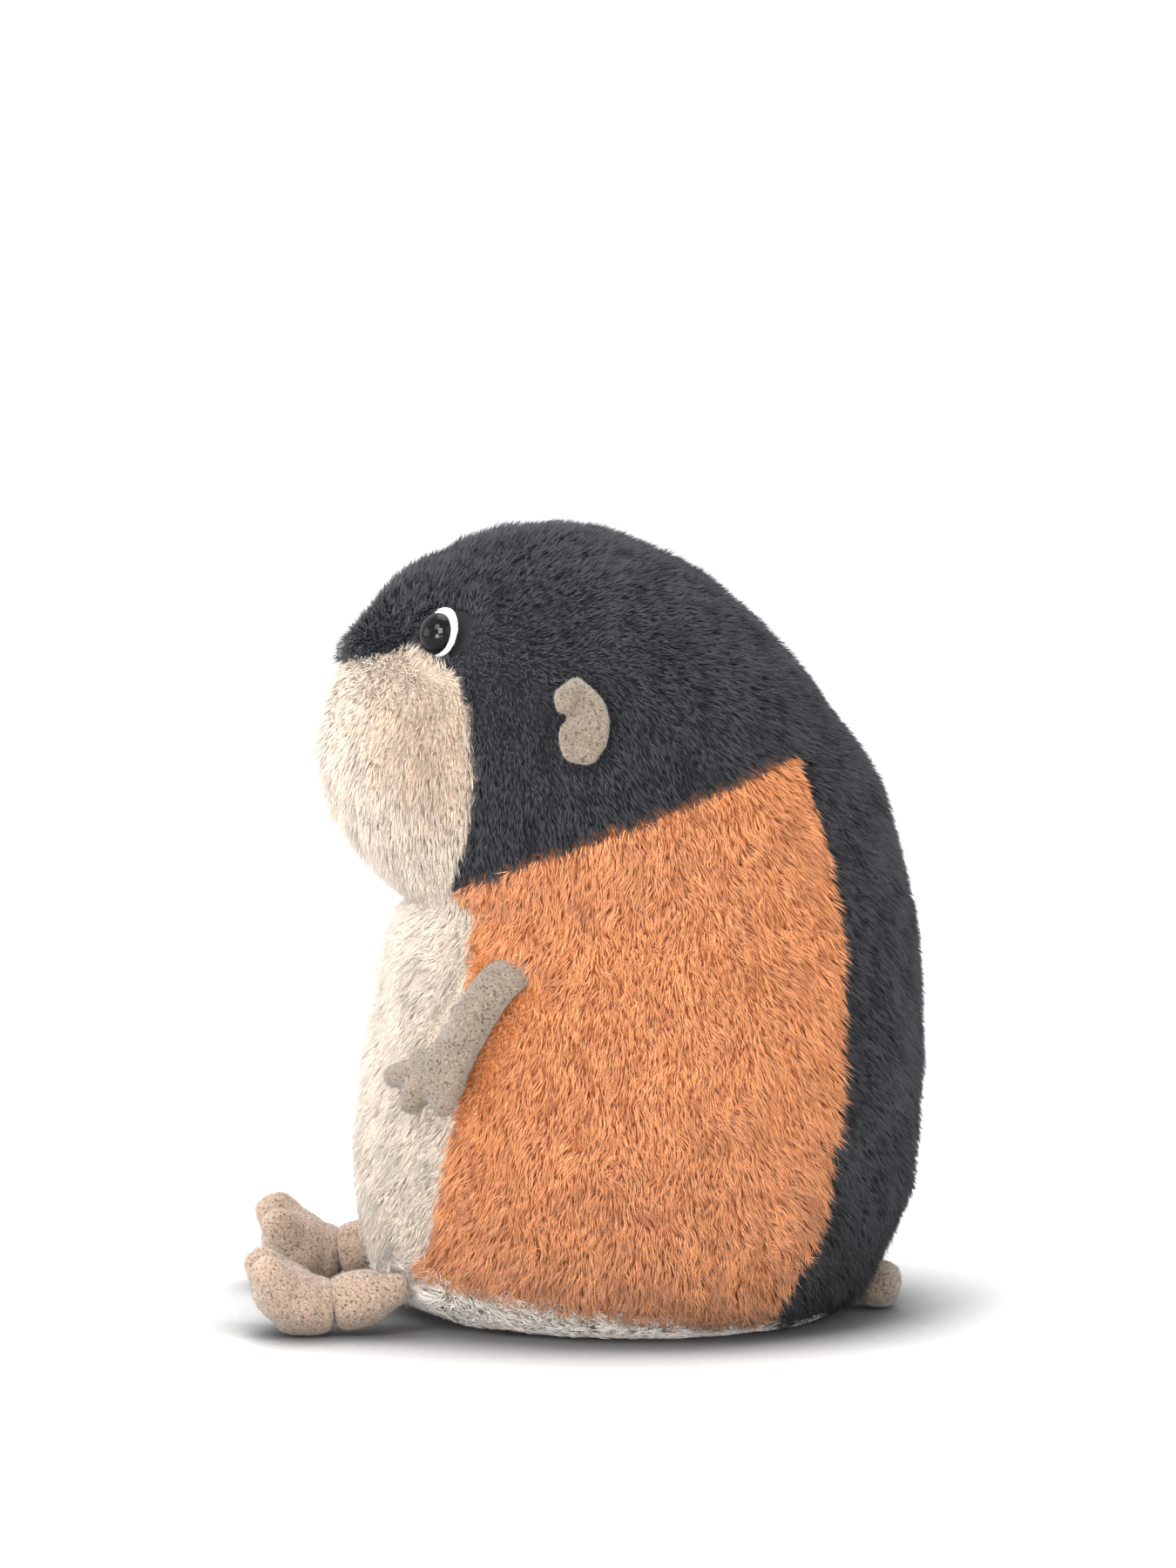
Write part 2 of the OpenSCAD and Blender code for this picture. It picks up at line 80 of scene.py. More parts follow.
def meshObject(name, verts, faces, colour=None):
    # faces is a whole array of triangles or of quads
    mesh = bpy.data.meshes.new(name)
    sides = faces.shape[1]
    mesh.vertices.add(len(verts))
    mesh.vertices.foreach_set("co", np.ascontiguousarray(verts, np.float32).ravel())
    mesh.loops.add(faces.size)
    mesh.loops.foreach_set("vertex_index", np.ascontiguousarray(faces, np.int32).ravel())
    mesh.polygons.add(len(faces))
    mesh.polygons.foreach_set("loop_start", np.arange(0, faces.size, sides, dtype=np.int32))
    mesh.update(calc_edges=True)
    mesh.validate()
    if colour is not None:
        layer = mesh.color_attributes.new("strand", "FLOAT_COLOR", "POINT")
        layer.data.foreach_set("color", np.ascontiguousarray(colour, np.float32).ravel())
    mesh.shade_smooth()
    piece = bpy.data.objects.new(name, mesh)
    bpy.context.scene.collection.objects.link(piece)
    return piece


def readMesh(piece, evaluated=False):
    # vertices and triangles, with the modifiers counted in when evaluated
    source = piece
    if evaluated:
        source = piece.evaluated_get(bpy.context.evaluated_depsgraph_get())
    mesh = source.to_mesh() if evaluated else piece.data
    co = np.zeros(len(mesh.vertices) * 3, np.float32)
    mesh.vertices.foreach_get("co", co)
    mesh.calc_loop_triangles()
    tris = np.zeros(len(mesh.loop_triangles) * 3, np.int32)
    mesh.loop_triangles.foreach_get("vertices", tris)
    if evaluated:
        source.to_mesh_clear()
    return co.reshape(-1, 3).astype(float), tris.reshape(-1, 3)


def vertexNormals(verts, tris):
    # area-weighted mean of the normals of the faces round each vertex
    a, b, c = (verts[tris[:, k]] for k in range(3))
    faceNormal = np.cross(b - a, c - a)
    total = np.zeros_like(verts)
    for k in range(3):
        np.add.at(total, tris[:, k], faceNormal)
    return unit(total)


def ringFaces(rows, turns):
    # triangles of a closed tube of rings, whose first and last centres follow the ring points
    i, j = np.meshgrid(np.arange(rows - 1), np.arange(turns), indexing="ij")
    k = (j + 1) % turns
    low0, low1 = i * turns + j, i * turns + k
    quads = np.stack([low0, low0 + turns, low1 + turns, low1], axis=-1).reshape(-1, 4)
    j, last = np.arange(turns), (rows - 1) * turns
    k = (j + 1) % turns
    caps = np.concatenate([
        np.stack([j, k, np.full(turns, rows * turns)], axis=-1),
        np.stack([last + k, last + j, np.full(turns, rows * turns + 1)], axis=-1)])
    return np.concatenate([quads[:, [0, 1, 2]], quads[:, [0, 2, 3]], caps])


def newGroup(name, inputs, outputs):
    group = bpy.data.node_groups.new(name, "ShaderNodeTree")
    kinds = {"colour": "NodeSocketColor", "value": "NodeSocketFloat", "vector": "NodeSocketVector"}
    for socketName, kind, default in inputs:
        socket = group.interface.new_socket(socketName, in_out="INPUT", socket_type=kinds[kind])
        socket.default_value = default
    for socketName, kind in outputs:
        group.interface.new_socket(socketName, in_out="OUTPUT", socket_type=kinds[kind])
    return group, group.nodes.new("NodeGroupInput"), group.nodes.new("NodeGroupOutput")


def addNode(tree, kind, links=None, **values):
    # links maps an input's name or number to the socket that feeds it, or to a constant
    node = tree.nodes.new(kind)
    for key, value in values.items():
        setattr(node, key, value)
    for key, source in (links or {}).items():
        if isinstance(source, bpy.types.NodeSocket):
            tree.links.new(source, node.inputs[key])
        else:
            node.inputs[key].default_value = source
    return node


def mixColour(tree, factor, low, high, blend="MIX"):
    node = addNode(tree, "ShaderNodeMix", data_type="RGBA", blend_type=blend)
    for index, source in ((0, factor), (6, low), (7, high)):
        if isinstance(source, bpy.types.NodeSocket):
            tree.links.new(source, node.inputs[index])
        else:
            node.inputs[index].default_value = source
    return node.outputs[2]


def maths(tree, operation, a, b=0.0, c=0.0):
    return addNode(tree, "ShaderNodeMath", {0: a, 1: b, 2: c}, operation=operation).outputs[0]


def ramp(tree, value, low, high):
    node = addNode(tree, "ShaderNodeMapRange", {0: value, 1: low, 2: high},
                   interpolation_type="SMOOTHSTEP")
    return node.outputs[0]


def strandGroup():
    # colour along a strand of pile: root to tip, with darker and paler strands in patches
    group, given, result = newGroup(
        "strandColour",
        [("Root", "colour", (0, 0, 0, 1)), ("Tip", "colour", (1, 1, 1, 1)),
         ("Streak", "colour", (0, 0, 0, 1)), ("Streak amount", "value", 0.3),
         ("Blush", "colour", (1, 1, 1, 1)), ("Patch size", "value", 60.0)],
        [("Colour", "colour"), ("Roughness", "value")])
    strand = addNode(group, "ShaderNodeAttribute", attribute_name="strand")
    parts = addNode(group, "ShaderNodeSeparateColor", {0: strand.outputs["Color"]})
    along, tone, blush = parts.outputs
    place = addNode(group, "ShaderNodeTexCoord").outputs["Object"]
    patch = addNode(group, "ShaderNodeTexNoise",
                    {"Vector": place, "Scale": given.outputs["Patch size"], "Detail": 3.0})
    base = mixColour(group, ramp(group, along, 0.0, 0.85), given.outputs["Root"],
                     given.outputs["Tip"])
    streakMask = maths(group, "MULTIPLY",
                       ramp(group, maths(group, "ADD", tone, patch.outputs[0]), 0.95, 1.35),
                       given.outputs["Streak amount"])
    streaked = mixColour(group, streakMask, base, given.outputs["Streak"])
    blushed = mixColour(group, blush, streaked, given.outputs["Blush"])
    light = maths(group, "MULTIPLY_ADD", tone, 0.66, 0.66)
    final = mixColour(group, 1.0, blushed,
                      addNode(group, "ShaderNodeCombineColor",
                              {0: light, 1: light, 2: light}).outputs[0], "MULTIPLY")
    group.links.new(final, result.inputs["Colour"])
    group.links.new(maths(group, "MULTIPLY_ADD", tone, 0.2, 0.55), result.inputs["Roughness"])
    return group


def suedeGroup():
    # brushed cloth: fine dark flecks, a soft cloudy tint and a felted height
    group, given, result = newGroup(
        "brushedCloth",
        [("Base", "colour", (1, 1, 1, 1)), ("Fleck", "colour", (0, 0, 0, 1)),
         ("Tint", "colour", (1, 1, 1, 1)), ("Fleck amount", "value", 0.5)],
        [("Colour", "colour"), ("Height", "value"), ("Roughness", "value")])
    place = addNode(group, "ShaderNodeTexCoord").outputs["Object"]
    cloud = addNode(group, "ShaderNodeTexNoise", {"Vector": place, "Scale": 90.0, "Detail": 3.0})
    fine = addNode(group, "ShaderNodeTexNoise",
                   {"Vector": place, "Scale": 1500.0, "Detail": 3.0, "Roughness": 0.6})
    speck = addNode(group, "ShaderNodeTexNoise",
                    {"Vector": place, "Scale": 1150.0, "Detail": 2.0, "Roughness": 0.75})
    tinted = mixColour(group, ramp(group, cloud.outputs[0], 0.35, 0.7), given.outputs["Base"],
                       given.outputs["Tint"])
    speckMask = maths(group, "MULTIPLY", ramp(group, speck.outputs[0], 0.52, 0.64),
                      given.outputs["Fleck amount"])
    flecked = mixColour(group, speckMask, tinted, given.outputs["Fleck"])
    pale = mixColour(group, ramp(group, fine.outputs[0], 0.5, 0.75), flecked,
                     (1.0, 1.0, 1.0, 1.0), "SOFT_LIGHT")
    group.links.new(pale, result.inputs["Colour"])
    group.links.new(maths(group, "ADD", fine.outputs[0], speck.outputs[0]),
                    result.inputs["Height"])
    group.links.new(maths(group, "MULTIPLY_ADD", fine.outputs[0], 0.2, 0.8),
                    result.inputs["Roughness"])
    return group


def useGroup(material, group, **inputs):
    tree = material.node_tree
    node = addNode(tree, "ShaderNodeGroup")
    node.node_tree = group
    for key, value in inputs.items():
        node.inputs[key.replace("_", " ")].default_value = value
    return node


def newMaterial(name, **sockets):
    material = bpy.data.materials.new(name)
    material.use_nodes = True
    shader = material.node_tree.nodes["Principled BSDF"]
    for key, value in sockets.items():
        shader.inputs[key.replace("_", " ")].default_value = value
    return material, shader


strandShade = strandGroup()
clothShade = suedeGroup()


def furMaterial(name, root, tip, streak, amount, blush, patch=60.0, sheen=0.2):
    material, shader = newMaterial(name, Sheen_Weight=sheen, Sheen_Roughness=0.5,
                                   Specular_IOR_Level=0.15)
    node = useGroup(material, strandShade, Root=root, Tip=tip, Streak=streak,
                    Streak_amount=amount, Blush=blush, Patch_size=patch)
    links = material.node_tree.links
    links.new(node.outputs["Colour"], shader.inputs["Base Color"])
    links.new(node.outputs["Roughness"], shader.inputs["Roughness"])
    return material


def clothMaterial(name, base, fleck, tint, amount):
    material, shader = newMaterial(name, Sheen_Weight=0.35, Sheen_Roughness=0.6,
                                   Specular_IOR_Level=0.15)
    node = useGroup(material, clothShade, Base=base, Fleck=fleck, Tint=tint, Fleck_amount=amount)
    tree = material.node_tree
    bumped = addNode(tree, "ShaderNodeBump",
                     {"Height": node.outputs["Height"], "Strength": 0.4, "Distance": 0.0003})
    tree.links.new(node.outputs["Colour"], shader.inputs["Base Color"])
    tree.links.new(node.outputs["Roughness"], shader.inputs["Roughness"])
    tree.links.new(bumped.outputs[0], shader.inputs["Normal"])
    return material


furDark = furMaterial("furCharcoal", (0.003, 0.003, 0.004, 1), (0.088, 0.089, 0.099, 1),
                      (0.003, 0.003, 0.004, 1), 0.75, (0.20, 0.21, 0.20, 1), sheen=0.0)
furOrange = furMaterial("furOrange", (0.32, 0.09, 0.026, 1), (1.0, 0.43, 0.175, 1),
                        (0.27, 0.085, 0.026, 1), 0.75, (0.92, 0.50, 0.26, 1), 110.0)
furCream = furMaterial("furCream", (0.58, 0.455, 0.345, 1), (0.80, 0.715, 0.63, 1),
                       (0.46, 0.34, 0.23, 1), 0.35, (0.50, 0.31, 0.18, 1), 120.0)
# a lighter copy of the cream pile for the base, which faces the floor: painted light in place of
# light bounced up from the floor, with the roots nearly as pale as the tips
furPale = furMaterial("furPale", (0.90, 0.79, 0.69, 1), (1.0, 0.95, 0.90, 1),
                      (0.42, 0.30, 0.20, 1), 0.45, (0.52, 0.34, 0.20, 1), 120.0)
# one brushed cloth in two copies: this first copy is painted darker, as painted shade, for the
# arms, shoulder tabs, ears and tail; the second is painted lighter, as painted light, and a little
# pinker for the legs and feet
suedeShaded = clothMaterial("suedeBeigeShaded", (0.170, 0.131, 0.094, 1), (0.030, 0.025, 0.020, 1),
                      (0.194, 0.147, 0.106, 1), 0.9)
suedeWarmLit = clothMaterial("suedeWarmLit", (0.315, 0.225, 0.158, 1), (0.055, 0.04, 0.03, 1),
                          (0.35, 0.245, 0.178, 1), 0.85)
felt = clothMaterial("feltWhite", (0.86, 0.85, 0.82, 1), (0.62, 0.60, 0.56, 1),
                     (0.90, 0.89, 0.86, 1), 0.25)
noseCloth = clothMaterial("suedeMauve", (0.22, 0.16, 0.15, 1), (0.08, 0.06, 0.06, 1),
                          (0.27, 0.20, 0.19, 1), 0.4)
insideCloth = clothMaterial("innerCotton", (0.74, 0.71, 0.65, 1), (0.5, 0.48, 0.44, 1),
                            (0.78, 0.75, 0.70, 1), 0.2)
fibre = clothMaterial("looseFibre", (0.88, 0.88, 0.86, 1), (0.7, 0.7, 0.68, 1),
                      (0.93, 0.93, 0.91, 1), 0.2)
stitch = newMaterial("threadDark", Base_Color=(0.10, 0.08, 0.06, 1), Roughness=0.8)[0]
eyeBlack = newMaterial("eyeGloss", Base_Color=(0.004, 0.004, 0.005, 1), Roughness=0.05,
                       Specular_IOR_Level=0.12)[0]
washerPlastic = newMaterial("washerPlastic", Base_Color=(0.72, 0.72, 0.70, 1),
                            Roughness=0.45)[0]


# the stuffed sack: head and torso
body = dict(
    height=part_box("crown_panel")[1].z,
    halfDepth=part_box("back_panel")[1].y / 0.985,
    halfWidth=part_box("flank_left")[1].x,
    crown=0.965, earSeam=90.0,
    columns=168, rows=132, bulge=0.0009, seamDepth=0.0007, inset=0.0004)

# level rings: height as a share of the height, front and back as shares of half the depth,
# half-width as a share, and how much narrower the front is than the back
rings = np.array([
    [0.000, -0.550, 0.550, 0.580, 0.00], [0.013, -0.730, 0.720, 0.760, 0.00],
    [0.045, -0.860, 0.830, 0.880, 0.00], [0.096, -0.940, 0.900, 0.950, 0.00],
    [0.175, -0.990, 0.955, 0.995, 0.00], [0.263, -0.985, 0.975, 1.000, 0.00],
    [0.350, -0.945, 0.985, 0.975, 0.00], [0.440, -0.870, 0.975, 0.930, 0.00],
    [0.500, -0.825, 0.955, 0.880, 0.00], [0.533, -0.810, 0.935, 0.860, 0.00],
    [0.561, -0.900, 0.920, 0.855, 0.02], [0.605, -1.000, 0.885, 0.860, 0.03],
    [0.667, -1.075, 0.825, 0.868, 0.04], [0.728, -1.100, 0.730, 0.855, 0.06],
    [0.790, -1.070, 0.625, 0.810, 0.10], [0.838, -1.035, 0.525, 0.742, 0.14],
    [0.877, -0.965, 0.435, 0.663, 0.14], [0.921, -0.870, 0.285, 0.550, 0.12],
    [0.956, -0.752, 0.125, 0.424, 0.08], [0.982, -0.615, -0.055, 0.278, 0.04],
    [0.996, -0.475, -0.200, 0.140, 0.00], [1.000, -0.335, -0.335, 0.000, 0.00]])


def ringValues(s):
    # Catmull-Rom curve through the rings at ring numbers s
    last = len(rings) - 1
    i = np.clip(np.floor(s).astype(int), 0, last - 1)
    t = (s - i)[..., None]
    p0, p1, p2, p3 = (rings[np.clip(i + k, 0, last)] for k in (-1, 0, 1, 2))
    return p1 + t * ((p2 - p0) + t * ((2 * p0 - 5 * p1 + 4 * p2 - p3)
                                      + t * (3 * p1 - p0 - 3 * p2 + p3))) / 2


def bodySurface(a, s):
    # a turns from 0 at the front over 90 on the toy's left to 180 at the back
    ring = ringValues(s)
    turn = np.radians(a)
    front, back = ring[..., 1] * body["halfDepth"], ring[..., 2] * body["halfDepth"]
    x = ring[..., 3] * body["halfWidth"] * np.sin(turn) * (1 - ring[..., 4] * np.cos(turn))
    y = (front + back) / 2 - (back - front) / 2 * np.cos(turn)
    return np.stack([x, y, ring[..., 0] * body["height"]], axis=-1)


def ringAt(z):
    return np.interp(z / body["height"], rings[:, 0], np.arange(len(rings)))


def neckHeight(m):
    return body["height"] * (0.533 + 0.217 * (1 - np.cos(np.radians(m))) / 2)


def baseHeight(m):
    return body["height"] * (0.013 + 0.075 * ((1 + np.cos(np.radians(m))) / 2) ** 1.5)


def browHeight(m):
    return body["height"] * np.interp(
        m, [0, 8, 20, 32, 40, 44, 50, 54, 58],
        [0.826, 0.828, 0.833, 0.845, 0.852, 0.852, 0.840, 0.834, 0.824])


panelNames = ["muzzle_left", "muzzle_right", "face_left", "face_right", "nape_left",
              "nape_right", "crown_panel", "belly_panel", "flank_left", "flank_right",
              "back_panel", "base_panel"]


def panelOf(a, z):
    # number in panelNames of the panel that covers each surface point
    m = np.abs(a)
    right = (a < 0).astype(int)
    neck, low = neckHeight(m), baseHeight(m)
    rise = (z - neck) / np.maximum(browHeight(m) - neck, 1e-6)
    side = np.interp(rise, [0, 0.15, 0.3, 0.5, 0.75, 1], [41, 54, 59, 62.5, 63, 58])
    up = (z - low) / (neck - low)
    front = np.interp(up, [0, 0.15, 0.35, 0.7, 1], [36, 44, 48, 45, 42])
    back = np.interp(up, [0, 0.15, 0.35, 0.7, 1], [124, 132, 135, 136, 141])
    panel = np.where(m < body["earSeam"], 2 + right, 4 + right)
    panel = np.where((z < browHeight(m)) & (m < side), right, panel)
    panel = np.where(z > body["crown"] * body["height"], 6, panel)
    torso = np.where(m < front, 7, np.where(m < back, 8 + right, 10))
    panel = np.where(z < neck, torso, panel)
    return np.where(z < low, 11, panel)


def sackGrid():
    # rows run from the middle of the seat, out over the floor ring and up to the crown
    columns, rows = body["columns"], body["rows"]
    a = np.arange(columns) * 360.0 / columns
    s = np.concatenate([np.zeros(6), np.linspace(0.25, len(rings) - 1.12, rows)])
    shrink = np.concatenate([np.linspace(0.1, 1.0, 6), np.ones(rows)])
    aGrid, sGrid = np.meshgrid(a, s)
    points = bodySurface(aGrid, sGrid)
    points[..., :2] *= shrink[:, None, None]
    verts = np.concatenate([points.reshape(-1, 3), [[0, 0, 0]],
                            bodySurface(np.zeros(1), np.full(1, len(rings) - 1.0))])
    rowCount = len(s)
    i, j = np.meshgrid(np.arange(rowCount - 1), np.arange(columns), indexing="ij")
    k = (j + 1) % columns
    low0, low1 = i * columns + j, i * columns + k
    high0, high1 = low0 + columns, low1 + columns
    quads = np.stack([low0, low1, high1, high0], axis=-1).reshape(-1, 4)
    tris = np.concatenate([quads[:, [0, 1, 2]], quads[:, [0, 2, 3]]])
    j, bottom, top = np.arange(columns), rowCount * columns, rowCount * columns + 1
    k = (j + 1) % columns
    lastRow = (rowCount - 1) * columns
    caps = np.concatenate([np.stack([k, j, np.full(columns, bottom)], axis=-1),
                           np.stack([lastRow + j, lastRow + k, np.full(columns, top)], axis=-1)])
    return verts, np.concatenate([tris, caps])


def turnAround(points):
    # the angle a of points near the surface, found from their place on their own ring
    s = ringAt(points[:, 2])
    ring = ringValues(s)
    front, back = ring[:, 1] * body["halfDepth"], ring[:, 2] * body["halfDepth"]
    cosine = ((front + back) / 2 - points[:, 1]) / np.maximum((back - front) / 2, 1e-4)
    sine = points[:, 0] / np.maximum(ring[:, 3] * body["halfWidth"], 1e-4)
    return np.degrees(np.arctan2(sine, cosine))


def inflate(piece, pinned, pressure, frames, cap, scale=1.0, stiffness=15.0):
    # cloth with air pressure and no gravity; pinned vertices stay, the rest move up to cap
    verts, tris = readMesh(piece)
    piece.data.vertices.foreach_set("co", (verts * scale).astype(np.float32).ravel())
    group = piece.vertex_groups.new(name="pin")
    group.add([int(v) for v in np.nonzero(pinned)[0]], 1.0, "REPLACE")
    cloth = piece.modifiers.new("cloth", "CLOTH")
    settings = cloth.settings
    settings.quality = 5
    settings.mass = 0.3
    settings.tension_stiffness = settings.compression_stiffness = stiffness
    settings.bending_stiffness = 0.5
    settings.use_pressure = True
    settings.uniform_pressure_force = pressure
    settings.effector_weights.gravity = 0.0
    settings.vertex_group_mass = "pin"
    cloth.collision_settings.use_collision = False
    cloth.point_cache.frame_start, cloth.point_cache.frame_end = 1, frames
    for step in range(1, frames + 1):
        bpy.context.scene.frame_set(step)
    moved = readMesh(piece, evaluated=True)[0] / scale - verts
    bpy.context.scene.frame_set(1)
    piece.modifiers.remove(cloth)
    far = np.linalg.norm(moved, axis=1, keepdims=True)
    verts = verts + moved * np.minimum(1.0, cap / np.maximum(far, 1e-9))
    piece.data.vertices.foreach_set("co", verts.astype(np.float32).ravel())
    piece.vertex_groups.clear()
    piece.data.update()
    print(piece.name, "inflated, mean move", round(float(far.mean() / mm), 2), "mm")
    return verts


def puffFrom(tris, count, boundary, passes=14):
    # 0 on the seams, rising to 1 inside each panel: a mask spread over the mesh's edges
    value = np.where(boundary, 0.0, 1.0)
    edges = np.concatenate([tris[:, [0, 1]], tris[:, [1, 2]], tris[:, [2, 0]]])
    degree = np.bincount(edges[:, 0], minlength=count).astype(float)
    for step in range(passes):
        value = np.bincount(edges[:, 0], weights=value[edges[:, 1]], minlength=count) / degree
        value[boundary] = 0.0
    return value


noseLow, noseHigh = (np.array(corner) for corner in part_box("nose"))
nosePoint = np.array([0.0, noseLow[1], (noseLow[2] + noseHigh[2]) / 2])


def boxMiddle(node):
    low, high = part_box(node)
    return (np.array(low) + np.array(high)) / 2


eyes = []
for side in ("left", "right"):
    centre = boxMiddle("eye_felt_" + side)
    axis = unit(centre - boxMiddle("eye_washer_" + side))
    axis = unit(axis + np.array([-0.10 * axis[0] / abs(axis[0]), -0.14, -0.05]))
    up = unit(np.array([0.0, 0.0, 1.0]) - axis * axis[2])
    back = np.cross(axis, up) * (-1.0 if side == "left" else 1.0)
    back = back * np.sign(back[1])
    eyes.append(dict(centre=centre, axis=axis, open=unit(0.75 * up + 0.66 * back)))


def aroundEye(points, eye):
    # distance from the eye's axis, the unit direction away from it, and height along it
    away = points - eye["centre"]
    height = away @ eye["axis"]
    flat = away - height[:, None] * eye["axis"]
    return np.linalg.norm(flat, axis=1), unit(flat), height


sackVerts, sackTris = sackGrid()
panelAt = panelOf(turnAround(sackVerts), sackVerts[:, 2])
onSeam = np.zeros(len(sackVerts), bool)
for corner in range(3):
    apart = panelAt[sackTris[:, corner]] != panelAt[sackTris[:, (corner + 1) % 3]]
    onSeam[sackTris[apart, corner]] = True
puff = puffFrom(sackTris, len(sackVerts), onSeam)
seatMask = smooth(sackVerts[:, 2], 0.0005, 0.006)
sackNormals = vertexNormals(sackVerts, sackTris)
inset = body["inset"] + 0.0022 * smooth(sackVerts[:, 2], 0.198, 0.226)
inset = inset * smooth(sackVerts[:, 2], 0.02, 0.05)
sackVerts += sackNormals * (((puff * 1.6 - 1.0) * body["seamDepth"] - inset)
                            * seatMask)[:, None]
# a small snout over the nose, and a soft ring that the eyes are pulled into
tip = nosePoint + np.array([0.0, 0.0, 0.0022])
cheek = smooth(sackVerts[:, 2], 0.130, 0.150) * (1 - smooth(sackVerts[:, 2], 0.178, 0.188))
foot = np.exp(-((sackVerts[:, 2] - 0.014) / 0.013) ** 2) * smooth(-sackVerts[:, 1], 0.02, 0.055)
chest = np.exp(-((sackVerts[:, 2] - 0.104) / 0.012) ** 2) * smooth(-sackVerts[:, 1], 0.02, 0.055)
sackVerts[:, 1] -= (0.0022 * cheek * smooth(-sackVerts[:, 1], 0.050, 0.075)
                    + 0.0034 * foot + 0.0032 * chest)


def bump(y, z, reach):
    # a soft round patch seen from the side: exp(-((y - y0)^2 + (z - z0)^2) / reach^2)
    away = (sackVerts[:, 1] - y) ** 2 + (sackVerts[:, 2] - z) ** 2
    return np.exp(-away / reach ** 2)[:, None]


sackVerts -= sackNormals * (0.0034 * bump(0.036, 0.203, 0.026)
                            + 0.0016 * bump(-0.036, 0.226, 0.022)
                            + 0.0030 * bump(0.068, 0.016, 0.014))
sackVerts[:, 1] -= 0.0030 * np.exp(-((sackVerts - tip) ** 2).sum(1) / 0.0085 ** 2)
for eye in eyes:
    reach, out, height = aroundEye(sackVerts, eye)
    ring = np.exp(-((reach - 0.0100) / 0.0035) ** 2) * (np.abs(height) < 0.020)
    swell = 0.0012 + 0.0012 * np.clip(-out @ eye["open"], 0, 1)
    sackVerts += sackNormals * (swell * ring)[:, None]
sackVerts[:, 2] = np.maximum(sackVerts[:, 2], 0.0)
sack = meshObject("stuffedSack", sackVerts, sackTris)
sackVerts = inflate(sack, onSeam | (seatMask < 0.5), 3.0, 14, body["bulge"])
sackVerts[:, 2] = np.maximum(sackVerts[:, 2], 0.0)
sack.data.vertices.foreach_set("co", sackVerts.astype(np.float32).ravel())
sackNormals = vertexNormals(sackVerts, sackTris)
print("sack sewn:", len(sackTris), "faces")


# length in mm, width in mm, how steeply a strand leaves the cloth and how flat its tip lies
pile = {
    "muzzle": dict(length=6.0, width=0.34, rise=62, lay=36, material=furCream, slot="fur_cream"),
    "face": dict(length=4.8, width=0.32, rise=62, lay=40, material=furDark, slot="fur_dark"),
    "nape": dict(length=5.2, width=0.32, rise=62, lay=38, material=furDark, slot="fur_dark"),
    "crown": dict(length=4.6, width=0.32, rise=62, lay=42, material=furDark, slot="fur_dark"),
    "belly": dict(length=5.6, width=0.34, rise=54, lay=26, material=furCream, slot="fur_cream"),
    "flank": dict(length=6.2, width=0.35, rise=56, lay=28, material=furOrange,
                  slot="fur_orange"),
    "back": dict(length=5.8, width=0.34, rise=58, lay=34, material=furDark, slot="fur_dark"),
    # the base's pile uses the lighter copy of the cream pile, painted light for its downward-facing
    # strip
    "base": dict(length=5.2, width=0.36, rise=52, lay=24, material=furPale, slot="fur_cream"),
}
strandsTotal = 285000


hip = np.array(joints["hip_left"]["pos_m"], float)
ankle = np.array(joints["ankle_left"]["pos_m"], float)


def mirrorLeft(points):
    # the same places on the toy's left side
    return points * np.where(points[:, :1] < 0, [-1, 1, 1], [1, 1, 1])


def napDirection(points, kind):
    # the way the pile lies: away from the nose on the head, down and back on the torso
    down = np.array([0.0, 0.0, -1.0])
    away = unit(points - nosePoint)
    y = points[:, 1:2]
    if kind in ("muzzle", "face", "nape", "crown"):
        fall = smooth(-points[:, 2:3], -0.205, -0.165)
        nap = away + fall * 1.3 * down
    elif kind == "base":
        nap = np.array([0.0, 1.0, -0.25]) + 0.6 * unit(points * [1, 1, 0])
    else:
        lean = 0.5 * smooth(y, 0.0, 0.06) - 0.35 * smooth(-y, 0.02, 0.06)
        nap = down + lean * np.array([0.0, 1.0, 0.0])
    beak = np.exp(-(np.linalg.norm(points - nosePoint, axis=1) / 0.010) ** 2)[:, None]
    if kind == "face":
        nap = nap * (1 - beak) + beak * np.array([0.0, -1.4, -0.7])
    for eye in eyes:
        reach, out, height = aroundEye(points, eye)
        near = (1 - smooth(reach, 0.0095, 0.0145)) * (np.abs(height) < 0.016)
        cover = np.clip(0.45 - 1.3 * out @ eye["open"], 0, 1)
        combed = out * (1 - 2 * cover)[:, None] * 1.5
        nap = nap * (1 - near)[:, None] + combed * near[:, None]
    collar = np.exp(-(np.linalg.norm(mirrorLeft(points) - hip, axis=1) / 0.010) ** 2)[:, None]
    if kind in ("belly", "flank", "base"):
        nap = nap * (1 - collar) + collar * np.array([0.0, -1.5, 0.0])
    return (nap + 0.16 * wavesVector(points, 0.024, 11) + 0.22 * wavesVector(points, 0.0075, 31)
            + 0.30 * wavesVector(points, 0.0030, 47))


